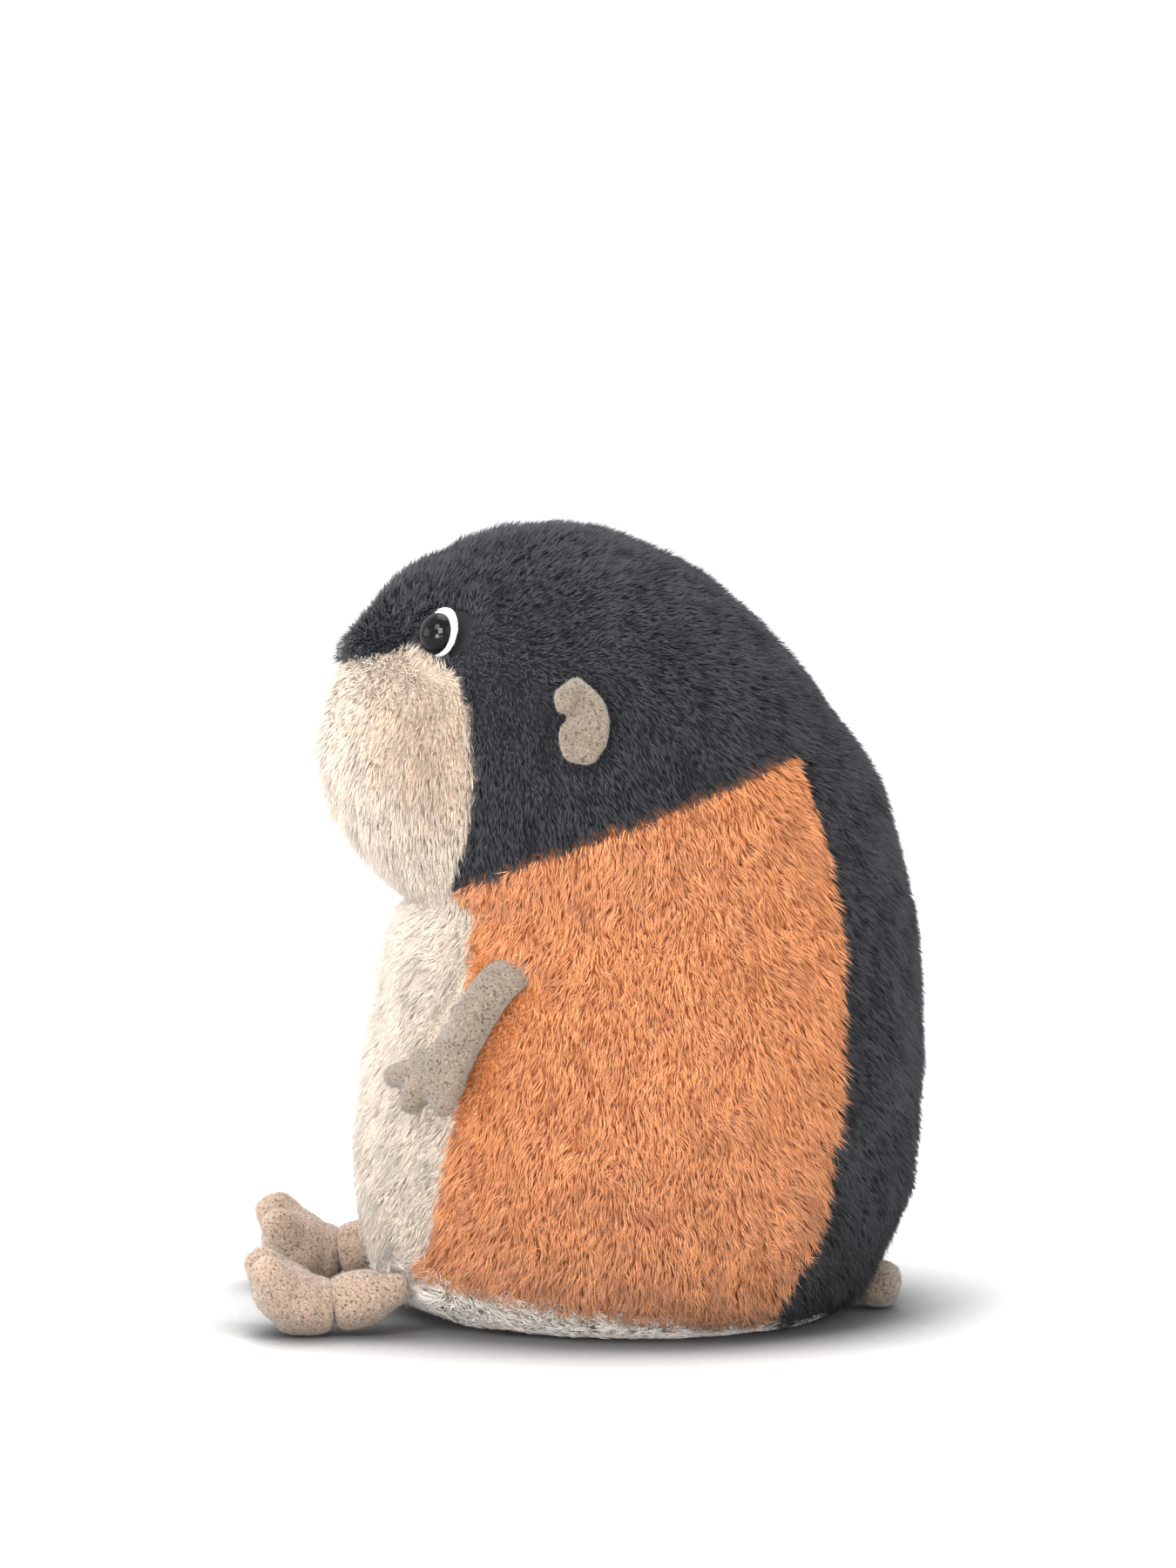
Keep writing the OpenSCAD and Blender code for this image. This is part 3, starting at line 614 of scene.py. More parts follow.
def strands(roots, normals, nap, length, width, rise, lay, tone, blush):
    # closed slim spikes: a point at the root, a three-sided waist and a point at the tip; each
    # strand leaves the cloth at its rise angle and bends over to its lay angle
    count = len(roots)
    tangent = unit(nap - (nap * normals).sum(1, keepdims=True) * normals)
    across = np.cross(normals, tangent)
    rise, lay = np.radians(rise)[:, None], np.radians(lay)[:, None]
    first = np.cos(rise) * tangent + np.sin(rise) * normals
    second = np.cos(lay) * tangent + np.sin(lay) * normals
    middle = roots + first * length[:, None] * 0.42
    verts = np.empty((count, 5, 3))
    verts[:, 0] = roots - normals * 0.0004
    for k in range(3):
        angle = 2 * math.pi * k / 3 + math.pi / 2
        verts[:, 1 + k] = middle + (width / 2)[:, None] * (
            math.cos(angle) * across + math.sin(angle) * 0.7 * np.cross(second, across))
    verts[:, 4] = middle + second * length[:, None] * 0.6
    pattern = np.array([[0, 2, 1], [0, 3, 2], [0, 1, 3], [4, 1, 2], [4, 2, 3], [4, 3, 1]])
    faces = (np.arange(count)[:, None, None] * 5 + pattern[None]).reshape(-1, 3)
    colour = np.ones((count, 5, 4))
    colour[:, 0, 0], colour[:, 1:4, 0], colour[:, 4, 0] = 0.0, 0.5, 1.0
    colour[:, :, 1] = tone[:, None]
    colour[:, :, 2] = blush[:, None]
    return verts.reshape(-1, 3), faces, colour.reshape(-1, 4)


def scatter(verts, tris, normals, count):
    # points spread evenly over a mesh, with their smooth normals
    a, b, c = (verts[tris[:, k]] for k in range(3))
    area = np.linalg.norm(np.cross(b - a, c - a), axis=1)
    chosen = rng.choice(len(tris), size=count, p=area / area.sum())
    u, v = rng.random(count), rng.random(count)
    flip = u + v > 1
    u[flip], v[flip] = 1 - u[flip], 1 - v[flip]
    weights = np.stack([1 - u - v, u, v], axis=1)[..., None]
    points = (verts[tris[chosen]] * weights).sum(1)
    return points, unit((normals[tris[chosen]] * weights).sum(1))


def jointFrame(swing, lift):
    # a limb's own axes in the row frame: columns across, along and outwards
    outwards = unit(np.array(joints[swing]["axis"], float))
    across = unit(np.array(joints[lift]["axis"], float))
    along = np.cross(outwards, across)
    return np.stack([across, along, outwards], axis=1), np.array(joints[swing]["pos_m"], float)


armMatrix, armPivot = jointFrame("shoulder_left_swing", "arm_left_lift")
armTop = armPivot - armMatrix[:, 1] * 6.5 * mm
earPivot = np.array(joints["ear_left_fold"]["pos_m"], float)
earAcross = unit(np.array(joints["ear_left_fold"]["axis"], float))
earBox = [np.array(corner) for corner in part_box("ear_left_front")]
earAlong = (earBox[0] + earBox[1]) / 2 - earPivot
earAlong = unit(earAlong - (earAlong @ earAcross) * earAcross)
earMatrix = np.stack([earAcross, earAlong, np.cross(earAcross, earAlong)], axis=1)


def within(points, matrix, origin, low, high, soft=0.0015):
    # 1 for points inside a limb's own box in its first two axes, on either side of the toy
    local = (mirrorLeft(points) - origin) @ matrix
    mask = np.ones(len(points))
    for k in range(2):
        mask *= smooth(local[:, k], low[k] * mm - soft, low[k] * mm + soft)
        mask *= 1 - smooth(local[:, k], high[k] * mm - soft, high[k] * mm + soft)
    return mask


rootPoints, rootNormals = scatter(sackVerts, sackTris, sackNormals, strandsTotal)
rootPanel = panelOf(turnAround(rootPoints), rootPoints[:, 2])
offFloor = rootPoints[:, 2] > 0.0012
hidden = np.zeros(len(rootPoints), bool)
for eye in eyes:
    reach, _, height = aroundEye(rootPoints, eye)
    hidden |= (reach < 0.0073) & (np.abs(height) < 0.016)
for number, nodeName in enumerate(panelNames):
    kind = nodeName.split("_")[0]
    spec = pile[kind]
    here = (rootPanel == number) & offFloor & ~hidden
    points, normals = rootPoints[here], rootNormals[here]
    count = len(points)
    patch = waves(points, 0.018, 5)
    length = spec["length"] * mm * (1 + 0.12 * patch) * rng.uniform(0.7, 1.15, count)
    rise = spec["rise"] + rng.normal(0, 8, count)
    lay = spec["lay"] + rng.normal(0, 9, count)
    for eye in eyes:
        reach, out, height = aroundEye(points, eye)
        near = (1 - smooth(reach, 0.0095, 0.0150)) * (np.abs(height) < 0.016)
        cover = np.clip(0.45 - 1.3 * out @ eye["open"], 0, 1)
        length *= 1 - near * (0.40 - 0.40 * cover)
        rise = rise + near * (74 - rise) * cover
        lay = lay + near * (8 - lay) * cover
    noseReach = np.linalg.norm(points - nosePoint, axis=1)
    if kind != "face":
        length *= 0.6 + 0.4 * smooth(noseReach, 0.006, 0.030)
    underArm = within(points, armMatrix, armTop, (-11, 4.0), (17, 53))
    underEar = within(points, earMatrix, earPivot, (-6, 0), (6, 23))
    overArm = within(points, armMatrix, armTop, (-9.0, -6.5), (9.0, 2.5), 0.0006)
    length *= (1 - 0.6 * underArm) * (1 - 0.65 * underEar) * (1 + 0.55 * overArm)
    rise = rise + overArm * (76 - rise)
    lay = lay + overArm * (12 - lay)
    legReachMm = np.linalg.norm(mirrorLeft(points) - hip, axis=1) / mm
    collar = np.exp(-((legReachMm - 7.5) / 3.0) ** 2)
    length *= (0.45 + 0.55 * smooth(legReachMm, 3.0, 6.0)) * (1 + 0.25 * collar)
    rise = rise + collar * (70 - rise)
    width = spec["width"] * mm * rng.uniform(0.7, 1.25, count)
    lay = np.where(points[:, 2] < 0.008, np.minimum(lay, 6.0), lay)
    nap = napDirection(points, kind) + rng.normal(0, 0.16, (count, 3))
    tone = np.clip(0.5 + 0.24 * waves(points, 0.008, 3) + rng.normal(0, 0.26, count), 0, 1)
    blush = np.zeros(count)
    if kind == "muzzle":
        spot = np.stack([np.abs(points[:, 0]) - 0.055, points[:, 1] + 0.058,
                         points[:, 2] - 0.172], axis=1) / [0.03, 0.019, 0.026]
        blush = 0.95 * np.exp(-(spot ** 2).sum(1)) * rng.uniform(0.2, 1.0, count)
    verts, faces, colour = strands(points, normals, nap, length, width, rise, lay, tone, blush)
    verts[:, 2] = np.maximum(verts[:, 2], 0.0002)
    fur = meshObject("fur" + "".join(w.title() for w in nodeName.split("_")), verts, faces, colour)
    fur.data.materials.append(spec["material"])
    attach(fur, "body")
    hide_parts(nodeName)
print("pile grown:", strandsTotal, "strands")

# the cloth under the pile takes each panel's root colour
underColour = {"muzzle": (0.62, 0.52, 0.42), "face": (0.022, 0.023, 0.027),
               "nape": (0.022, 0.023, 0.027), "crown": (0.022, 0.023, 0.027),
               "belly": (0.62, 0.52, 0.42), "flank": (0.52, 0.17, 0.05),
               "back": (0.022, 0.023, 0.027), "base": (0.62, 0.52, 0.42)}
panelAt = panelOf(turnAround(sackVerts), sackVerts[:, 2])
tints = np.array([underColour[name.split("_")[0]] + (1.0,) for name in panelNames])
layer = sack.data.color_attributes.new("backing", "FLOAT_COLOR", "POINT")
layer.data.foreach_set("color", tints[panelAt].astype(np.float32).ravel())
backing, backingShader = newMaterial("pileBacking", Roughness=0.9, Specular_IOR_Level=0.1)
backingTree = backing.node_tree
tint = addNode(backingTree, "ShaderNodeAttribute", attribute_name="backing")
knit = addNode(backingTree, "ShaderNodeTexNoise",
               {"Vector": addNode(backingTree, "ShaderNodeTexCoord").outputs["Object"],
                "Scale": 900.0, "Detail": 3.0})
backingTree.links.new(
    mixColour(backingTree, ramp(backingTree, knit.outputs[0], 0.35, 0.7), tint.outputs["Color"],
              (0.5, 0.5, 0.5, 1.0), "OVERLAY"), backingShader.inputs["Base Color"])
backingTree.links.new(
    addNode(backingTree, "ShaderNodeBump", {"Height": knit.outputs[0], "Strength": 0.6,
                                            "Distance": 0.0005}).outputs[0],
    backingShader.inputs["Normal"])
sack.data.materials.append(backing)
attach(sack, "body")


def lobe(start, end, startRadius, endRadius, flat=1.0, blunt=0.5, turns=24, rows=20):
    # closed round-ended spindle from start to end, flattened along the third axis; the radius
    # goes from one end's to the other's and closes beyond each end, squarer when blunt is low
    start, end = np.array(start, float), np.array(end, float)
    axis = unit(end - start)
    side = unit(np.cross(axis, [0.0, 0.0, 1.0]) + 1e-9)
    up = np.cross(side, axis)
    reach = np.linalg.norm(end - start)
    angle = np.linspace(0.03, math.pi - 0.03, rows)
    mix = (1 - np.cos(angle)) / 2
    radius = (startRadius * (1 - mix) + endRadius * mix) * np.sin(angle) ** blunt
    place = -startRadius * 0.8 + mix * (reach + 0.8 * (startRadius + endRadius))
    turn = np.arange(turns) * 2 * math.pi / turns
    ring = (np.cos(turn)[:, None] * side + np.sin(turn)[:, None] * flat * up)
    points = start + place[:, None, None] * axis + radius[:, None, None] * ring[None]
    verts = np.concatenate([points.reshape(-1, 3), [start + axis * (place[0] - 0.01 * radius[0])],
                            [start + axis * (place[-1] + 0.01 * radius[-1])]])
    return verts, ringFaces(rows, turns)


def stuffedLimb(name, lobes, voxel, pressure=5.0, cap=0.0006, soften=6, pinch=0.0009):
    # lobes are joined into one skin by a remesh, softened, then blown up as cloth between
    # pinned seams that run round the limb where its third coordinate is 0
    parts, total = [], 0
    for spec in lobes:
        verts, tris = lobe(*[np.array(p) * mm for p in spec[:2]], spec[2] * mm, spec[3] * mm,
                           *spec[4:])
        parts.append((verts, tris + total))
        total += len(verts)
    piece = meshObject(name, np.concatenate([p[0] for p in parts]),
                       np.concatenate([p[1] for p in parts]))
    remesh = piece.modifiers.new("remesh", "REMESH")
    remesh.mode, remesh.voxel_size = "VOXEL", voxel
    soft = piece.modifiers.new("soft", "SMOOTH")
    soft.factor, soft.iterations = 0.5, soften
    verts, tris = readMesh(piece, evaluated=True)
    bpy.data.objects.remove(piece)
    piece = meshObject(name, verts, tris)
    seam = np.abs(verts[:, 2]) < voxel * 0.8
    verts = inflate(piece, seam, pressure, 12, cap, scale=10.0, stiffness=20.0)
    normals = vertexNormals(verts, tris)
    groove = np.exp(-(verts[:, 2] / (0.55 * voxel)) ** 2)
    edge = np.clip(1 - np.abs(normals[:, 2]) * 1.2, 0, 1)
    verts = verts - normals * (pinch * 0.35 * groove * edge)[:, None]
    bpy.data.objects.remove(piece)
    return verts, tris


def fuzzOn(verts, tris, count, length=0.75, width=0.13):
    # short raised nap: straight closed spikes of four faces
    normals = vertexNormals(verts, tris)
    points, facing = scatter(verts, tris, normals, count)
    lean = unit(facing + 0.75 * rng.normal(0, 1, (count, 3)) * 0.8)
    side = unit(np.cross(lean, rng.normal(0, 1, (count, 3))))
    other = np.cross(lean, side)
    radius = (width * mm / 2 * rng.uniform(0.7, 1.3, count))[:, None]
    base = points - facing * 0.0001
    spikes = np.empty((count, 4, 3))
    for k in range(3):
        angle = 2 * math.pi * k / 3
        spikes[:, k] = base + radius * (math.cos(angle) * side + math.sin(angle) * other)
    spikes[:, 3] = base + lean * (length * mm * rng.uniform(0.5, 1.2, count))[:, None]
    pattern = np.array([[0, 2, 1], [0, 1, 3], [1, 2, 3], [2, 0, 3]])
    faces = (np.arange(count)[:, None, None] * 4 + pattern[None]).reshape(-1, 3)
    return spikes.reshape(-1, 3), faces


def placeLimb(name, verts, tris, body, replaced, matrix=None, origin=None, mirror=False,
              material=suedeShaded, fuzz=0):
    # into the row frame, mirrored for the right side, with its nap, riding on its body
    if matrix is not None:
        verts = verts @ matrix.T + origin
    if mirror:
        verts, tris = verts * [-1, 1, 1], tris[:, ::-1]
    if fuzz:
        hairs, hairFaces = fuzzOn(verts, tris, fuzz // (1))
        tris = np.concatenate([tris, hairFaces + len(verts)])
        verts = np.concatenate([verts, hairs])
    verts[:, 2] = np.maximum(verts[:, 2], 0.0001)
    piece = meshObject(name, verts, tris)
    piece.data.materials.append(material)
    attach(piece, body)
    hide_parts(*replaced)


def stitches(name, path, facing, body, count, size=(0.9, 0.26)):
    # a row of short thread bars along a path, each a small closed six-sided bead
    path = np.array(path, float)
    span = np.concatenate([[0], np.cumsum(np.linalg.norm(np.diff(path, axis=0), axis=1))])
    at = (np.arange(count) + 0.5) / count * span[-1]
    middle = np.stack([np.interp(at, span, path[:, k]) for k in range(3)], axis=1)
    ahead = np.stack([np.interp(at + 1e-4, span, path[:, k]) for k in range(3)], axis=1)
    along = unit(ahead - middle + 1e-12)
    out = unit(np.array(facing, float) * np.ones((count, 3)))
    side = unit(np.cross(along, out))
    half, thick = size[0] * mm / 2, size[1] * mm / 2
    verts = np.empty((count, 14, 3))
    for k in range(6):
        angle = k * math.pi / 3
        ring = thick * (math.cos(angle) * side + math.sin(angle) * out)
        verts[:, k] = middle - along * half * 0.6 + ring
        verts[:, 6 + k] = middle + along * half * 0.6 + ring
    verts[:, 12], verts[:, 13] = middle - along * half, middle + along * half
    faces = []
    for k in range(6):
        n = (k + 1) % 6
        faces += [[k, n, 6 + n], [k, 6 + n, 6 + k], [12, n, k], [13, 6 + k, 6 + n]]
    faces = (np.arange(count)[:, None, None] * 14 + np.array(faces)[None]).reshape(-1, 3)
    piece = meshObject(name, verts.reshape(-1, 3), faces)
    piece.data.materials.append(stitch)
    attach(piece, body)


def onSkin(verts, tris, path, lift=0.12):
    # points on the outer skin of a limb at given places in its first two axes
    normals = vertexNormals(verts, tris)
    facing = np.nonzero(normals[:, 2] > 0.2)[0]
    spots, out = [], []
    for x, y in path:
        near = facing[np.argmin((verts[facing, 0] - x * mm) ** 2
                                + (verts[facing, 1] - y * mm) ** 2)]
        spots.append([x * mm, y * mm, verts[near, 2] + lift * mm])
        out.append(normals[near])
    return np.array(spots), np.array(out)


# arm: a tube that widens into a palm with three stubby fingers; each lobe gives two ends in
# millimetres across, along and outwards from the arm's top, two radii and a flatness
armVerts, armTris = stuffedLimb("armShape", [
    ((0, 5.6, -6.4), (-0.4, 10, -3.0), 7.0, 7.3, 0.44, 0.34),
    ((-0.4, 9.5, -3.2), (-0.8, 15, -1.2), 7.2, 7.1, 0.56, 0.36),
    ((-0.8, 12, -1.6), (-1.2, 20, -0.4), 7.0, 6.8, 0.68),
    ((-1.2, 17, -0.3), (-1.6, 30, 0), 6.8, 6.3, 0.82),
    ((-1.6, 27, 0), (-1.0, 39, -0.2), 6.3, 8.2, 0.72),
    ((-3.0, 40, -0.2), (3.4, 42.0, -0.2), 7.8, 7.4, 0.66),
    ((5.0, 43.2, 0), (12.6, 49.0, -0.2), 4.4, 3.7, 0.95),
    ((2.0, 43.8, 0), (3.2, 51.8, -0.2), 4.8, 4.0, 0.95),
    ((-4.6, 40.0, 0), (-7.0, 46.4, -0.2), 4.8, 3.9, 0.92)], 0.0008, soften=3)
for side in ("left", "right"):
    placeLimb("arm" + side.title(), armVerts, armTris, "arm_" + side,
              [f"arm_{side}_{part}" for part in ("outer", "inner", "stuffing")],
              armMatrix, armTop, side == "right", fuzz=9000)
tabVerts, tabTris = stuffedLimb("tabShape", [
    ((-1.4, 6.5, -9.4), (1.4, 6.5, -9.4), 3.8, 3.8, 0.30)], 0.0006, soften=2)
for side in ("left", "right"):
    placeLimb("shoulder" + side.title(), tabVerts, tabTris, "shoulder_" + side,
              ["shoulder_" + side], armMatrix, armTop, side == "right")
print("arms sewn")

# leg: a cone that thickens towards its flat front, where the ankle seam folds
legAlong = unit(ankle - hip)
legAcross = unit(np.cross(legAlong, [0.0, 0.0, 1.0]))
legMatrix = np.stack([legAcross, legAlong, np.cross(legAcross, legAlong)], axis=1)
legReach = np.linalg.norm(ankle - hip) / mm
legVerts, legTris = stuffedLimb("legShape", [
    ((0, 6.6, 0.6), (0, 11, 0.2), 4.2, 5.6, 1.0),
    ((0, 9, 0), (0, legReach - 6.6, -0.2), 5.2, 8.4, 1.0, 0.35),
    ((0, legReach - 8.6, -0.2), (0, legReach - 6.5, -0.2), 8.2, 8.5, 1.0, 0.26)], 0.0008)
for side in ("left", "right"):
    placeLimb("leg" + side.title(), legVerts, legTris, "leg_" + side,
              [f"leg_{side}_{part}" for part in ("top", "bottom", "stuffing")],
              legMatrix, hip, side == "right", suedeWarmLit, fuzz=5000)

# foot: a deep heel against the ankle seam, rising to three round toes
rise = math.radians(33.0)
footAlong = unit(np.array([0.07, -math.cos(rise), math.sin(rise)]))
footAcross = unit(np.cross(footAlong, [0.0, 0.0, 1.0]))
footMatrix = np.stack([footAcross, footAlong, np.cross(footAcross, footAlong)], axis=1)
footVerts, footTris = stuffedLimb("footShape", [
    ((0, 5.3, -3.6), (0, 7.4, -4.9), 8.7, 8.7, 1.0, 0.26),
    ((-2.4, 8.5, -4.4), (-3.6, 15.5, -4.0), 9.0, 8.2, 1.0),
    ((2.4, 8.5, -4.4), (3.6, 15.5, -4.0), 9.0, 8.2, 1.0),
    ((-7.4, 14.0, -3.6), (-10.4, 23.0, -0.6), 5.4, 4.1, 1.25),
    ((0, 15.0, -3.6), (0.2, 24.4, -0.4), 5.8, 4.2, 1.25),
    ((7.4, 13.4, -3.6), (10.2, 20.6, -1.2), 5.4, 4.1, 1.25)], 0.0008, soften=3)
for side in ("left", "right"):
    placeLimb("foot" + side.title(), footVerts, footTris, "foot_" + side,
              [f"foot_{side}_{part}" for part in ("top", "sole", "stuffing")],
              footMatrix, ankle, side == "right", suedeWarmLit, fuzz=8000)
print("legs and feet sewn")

# tail: a short flattened stub that lies on the floor behind
tailLow, tailHigh = (np.array(c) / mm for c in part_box("tail_top"))
tailVerts, tailTris = stuffedLimb("tailShape", [
    ((0, tailLow[1] + 3.6, 7.2), (0, tailHigh[1] - 10.6, 7.0), 7.0, 7.4, 0.95),
    ((-2.2, tailLow[1] + 3.8, 7.0), (-1.8, tailHigh[1] - 11.2, 6.9), 6.6, 7.0, 0.95),
    ((2.2, tailLow[1] + 3.8, 7.0), (1.8, tailHigh[1] - 11.2, 6.9), 6.6, 7.0, 0.95)], 0.0009)
placeLimb("tail", tailVerts, tailTris, "tail", ["tail_top", "tail_bottom", "tail_stuffing"],
          fuzz=3500)

# ear: a soft bean-shaped leaf whose top front corner curls over into a short hook
earVerts, earTris = stuffedLimb("earShape", [
    ((1.4, 6.0, 0.4), (0.2, 10.0, 0.4), 3.6, 4.6, 0.55),
    ((0.0, 9.0, 0.4), (0.1, 17.6, 0.2), 4.6, 6.0, 0.48),
    ((0.4, 16.0, 0.2), (1.3, 19.0, 0.1), 6.3, 6.0, 0.46),
    ((2.8, 15.2, 0.2), (2.6, 18.4, 0.1), 4.8, 4.8, 0.50),
    ((1.2, 1.9, 1.0), (-3.9, 7.4, 1.3), 2.7, 2.6),
    ((-3.9, 7.2, 1.3), (-5.2, 12.6, 1.2), 2.5, 2.4),
    ((-5.2, 12.4, 1.2), (-3.6, 19.0, 0.7), 2.4, 2.5),
    ((1.0, 2.0, 1.4), (4.4, 5.0, 2.4), 2.9, 3.3),
    ((4.4, 4.8, 2.4), (4.5, 7.0, 2.2), 3.3, 3.0)], 0.0006, cap=0.0003, soften=4)
for side in ("left", "right"):
    placeLimb("ear" + side.title(), earVerts, earTris, "ear_" + side,
              [f"ear_{side}_front", f"ear_{side}_back"], earMatrix, earPivot,
              side == "right", fuzz=5000)
print("ears and tail sewn")

# rows of dark thread: beside the ear's rear rim and up the arm's outer edge
threads = dict(
    ear=dict(skin=(earVerts, earTris), matrix=earMatrix, origin=earPivot, count=9,
             path=[(-3.4, 9.0), (-4.1, 11.4), (-4.5, 14.0), (-4.3, 16.2)]),
    arm=dict(skin=(armVerts, armTris), matrix=armMatrix, origin=armTop, count=12,
             path=[(-5.2, 5.0), (-5.6, 10.0), (-5.7, 18.0), (-5.6, 26.0)]))
for name, row in threads.items():
    spots, out = onSkin(*row["skin"], row["path"])
    spots, out = spots @ row["matrix"].T + row["origin"], (out @ row["matrix"].T).mean(0)
    for side in ("left", "right"):
        flip = np.array([-1.0 if side == "right" else 1.0, 1.0, 1.0])
        stitches(f"{name}Thread{side.title()}", spots * flip, out * flip, f"{name}_{side}",
                 row["count"])


def paint(node, material):
    # hidden inside the toy, so the frame's own mesh is enough
    mesh = nodes[node].data
    mesh.materials.clear()
    mesh.materials.append(material)


def turned(profile, axis, centre, turns=48, wobble=0.0):
    # a profile of (radius, height) in millimetres spun about an axis; closed at both ends
    profile = np.array(profile, float) * mm
    side = unit(np.cross(axis, [0.0, 0.0, 1.0]))
    up = np.cross(side, axis)
    angle = np.arange(turns) * 2 * math.pi / turns
    edge = 1 + wobble * (np.sin(3 * angle + 1) + 0.6 * np.sin(7 * angle) + 0.4 * np.sin(13 * angle))
    ring = np.cos(angle)[:, None] * side + np.sin(angle)[:, None] * up
    verts = (centre + profile[:, 1][:, None, None] * axis
             + (profile[:, 0][:, None] * edge)[..., None] * ring[None])
    verts = np.concatenate([verts.reshape(-1, 3), [centre + profile[0, 1] * axis],
                            [centre + profile[-1, 1] * axis]])
    return verts, ringFaces(len(profile), turns)


# safety eyes: a glossy dome on a shank, over a felt disc with a soft rounded rim
dome = ([(1.9, -8.5), (2.0, -8.4), (2.0, 0.3), (4.9, 0.35), (5.7, 0.5), (6.0, 0.9)]
        + [(6.0 * math.cos(t * math.pi / 32), 1.0 + 4.7 * math.sin(t * math.pi / 32))
           for t in range(0, 16)] + [(0.15, 5.7)])
feltDisc = [(2.2, -0.5), (6.3, -0.5), (6.8, -0.42), (7.1, -0.15), (7.12, 0.12), (6.8, 0.42),
            (6.3, 0.52), (2.2, 0.5)]
for side, eye in zip(("left", "right"), eyes):
    piece = meshObject("eye" + side.title(), *turned(dome, eye["axis"], eye["centre"]))
    piece.data.materials.append(eyeBlack)
    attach(piece, "body")
    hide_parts("eye_" + side)
    verts, tris = turned(feltDisc, eye["axis"], eye["centre"] + 0.0010 * eye["open"], 72, 0.008)
    hairs, hairFaces = fuzzOn(verts, tris, 2200, 0.55, 0.09)
    piece = meshObject("felt" + side.title(), np.concatenate([verts, hairs]),
                       np.concatenate([tris, hairFaces + len(verts)]))
    piece.data.materials.append(felt)
    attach(piece, "body")
    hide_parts("eye_felt_" + side)
    paint("eye_washer_" + side, washerPlastic)
for node in ("head_stuffing", "body_stuffing"):
    # loose fibre: the stuffing drawn 2.6 mm in from the cloth, with soft hollows
    verts, tris = readMesh(nodes[node])
    verts = verts - vertexNormals(verts, tris) * (0.0026 + 0.0006 * waves(verts, 0.02, 5))[:, None]
    piece = meshObject(node.split("_")[0] + "Fibre", verts, tris)
    piece.data.materials.append(fibre)
    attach(piece, "body")
    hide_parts(node)
for node in ("pouch_top", "pouch_bottom", "pellets"):
    paint(node, insideCloth)
noseHalf = (noseHigh - noseLow) / 2 / mm
noseVerts, noseTris = stuffedLimb("noseShape", [
    ((-noseHalf[0] * 0.45, 0, 0), (noseHalf[0] * 0.45, 0, 0), noseHalf[1] * 0.95,
     noseHalf[1] * 0.95, noseHalf[2] / noseHalf[1])], 0.0005, soften=2)
placeLimb("noseSewn", noseVerts, noseTris, "body", ["nose"], np.eye(3), (noseLow + noseHigh) / 2,
          material=noseCloth, fuzz=900)


# stage, light and camera
studio = dict(distance=3.0, azimuth=90.0, elevation=6.5, framePixels=(1350, 1800),
              scale=0.00025, centreY=-0.0145, centreZ=0.152)

floorMesh = bpy.data.meshes.new("floor")
floorMesh.from_pydata([(-60, -60, 0), (60, -60, 0), (60, 60, 0), (-60, 60, 0)], [],
                      [(0, 1, 2, 3)])
floor = bpy.data.objects.new("floor", floorMesh)
bpy.context.scene.collection.objects.link(floor)
paper, paperShader = newMaterial("palePaperPaintedShadow", Base_Color=(0.92, 0.92, 0.92, 1), Roughness=0.9,
                                 Specular_IOR_Level=0.1)
# painted contact shadow: an ambient occlusion mask darkens the floor's colour from pale grey to
# near black close under and around the toy
shade = addNode(paper.node_tree, "ShaderNodeAmbientOcclusion", {"Distance": 0.20},
                only_local=False)
shade.samples = 8
paper.node_tree.links.new(
    mixColour(paper.node_tree,
              maths(paper.node_tree, "POWER",
                    ramp(paper.node_tree, shade.outputs["AO"], 0.34, 1.0), 1.35),
              (0.11, 0.11, 0.11, 1.0), (0.82, 0.82, 0.82, 1.0)),
    paperShader.inputs["Base Color"])
floorMesh.materials.append(paper)

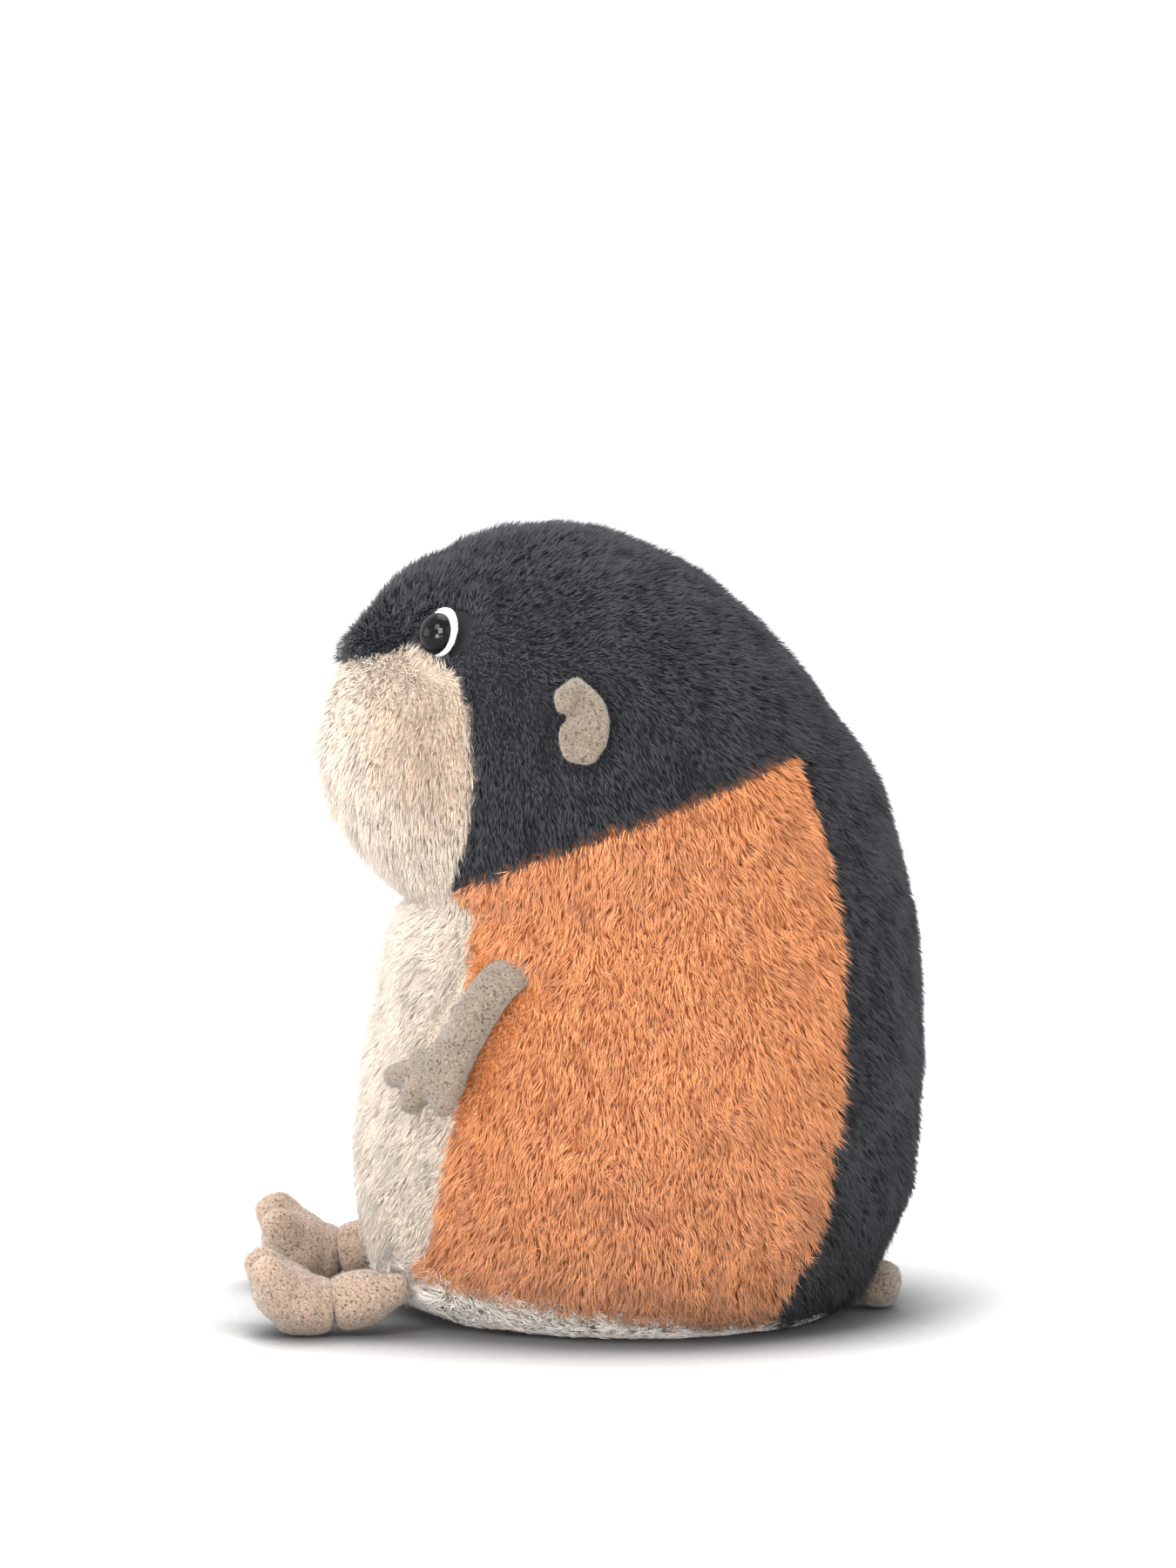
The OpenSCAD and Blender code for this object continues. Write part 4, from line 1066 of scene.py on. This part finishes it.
world = bpy.data.worlds.new("studio")
bpy.context.scene.world = world
world.use_nodes = True
world.node_tree.nodes["Background"].inputs["Color"].default_value = (1.0, 1.0, 1.0, 1)
world.node_tree.nodes["Background"].inputs["Strength"].default_value = 1.35


def softbox(name, place, target, size, power):
    # a soft rectangular lamp; a window box lights no matt surface and shows only as a reflection
    light = bpy.data.lights.new(name, "AREA")
    light.shape, light.size, light.size_y = "RECTANGLE", size[0], size[1]
    light.energy = power
    lamp = bpy.data.objects.new(name, light)
    lamp.location = place
    lamp.rotation_euler = (Vector(target) - Vector(place)).to_track_quat("-Z", "Y").to_euler()
    lamp.visible_diffuse = not name.startswith("window")
    bpy.context.scene.collection.objects.link(lamp)


softbox("keyBox", (1.3, -0.9, 1.7), (0, 0, 0.12), (0.9, 0.9), 33)
softbox("fillBox", (1.0, 1.6, 0.9), (0, 0, 0.12), (1.2, 1.2), 10)
softbox("topBox", (-0.6, 0.2, 2.0), (0, 0, 0.10), (1.4, 1.4), 25)
softbox("windowBox", (1.5, -0.20, 0.95), (0, -0.05, 0.19), (0.85, 0.80), 60)
softbox("windowLow", (1.6, -0.75, 0.25), (0, -0.05, 0.19), (0.60, 0.50), 26)
softbox("lowBox", (1.5, -0.4, 0.13), (0, 0, 0.02), (1.4, 0.22), 12)
softbox("frontBox", (0.1, -1.7, 0.5), (0, 0, 0.08), (0.9, 0.7), 8)

cameraData = bpy.data.cameras.new("camera")
camera = bpy.data.objects.new("camera", cameraData)
bpy.context.scene.collection.objects.link(camera)
azimuth, elevation = math.radians(studio["azimuth"]), math.radians(studio["elevation"])
away = Vector((math.sin(azimuth) * math.cos(elevation), -math.cos(azimuth) * math.cos(elevation),
               math.sin(elevation)))
target = Vector((0.0, studio["centreY"], studio["centreZ"]))
camera.location = target + away * studio["distance"]
camera.rotation_euler = (-away).to_track_quat("-Z", "Y").to_euler()
cameraData.sensor_width = 36.0
cameraData.lens = 36.0 * studio["distance"] / (studio["framePixels"][1] * studio["scale"])
cameraData.clip_end = 50.0
bpy.context.scene.camera = camera
bpy.context.scene.view_settings.view_transform = "Standard"
print("stage set")
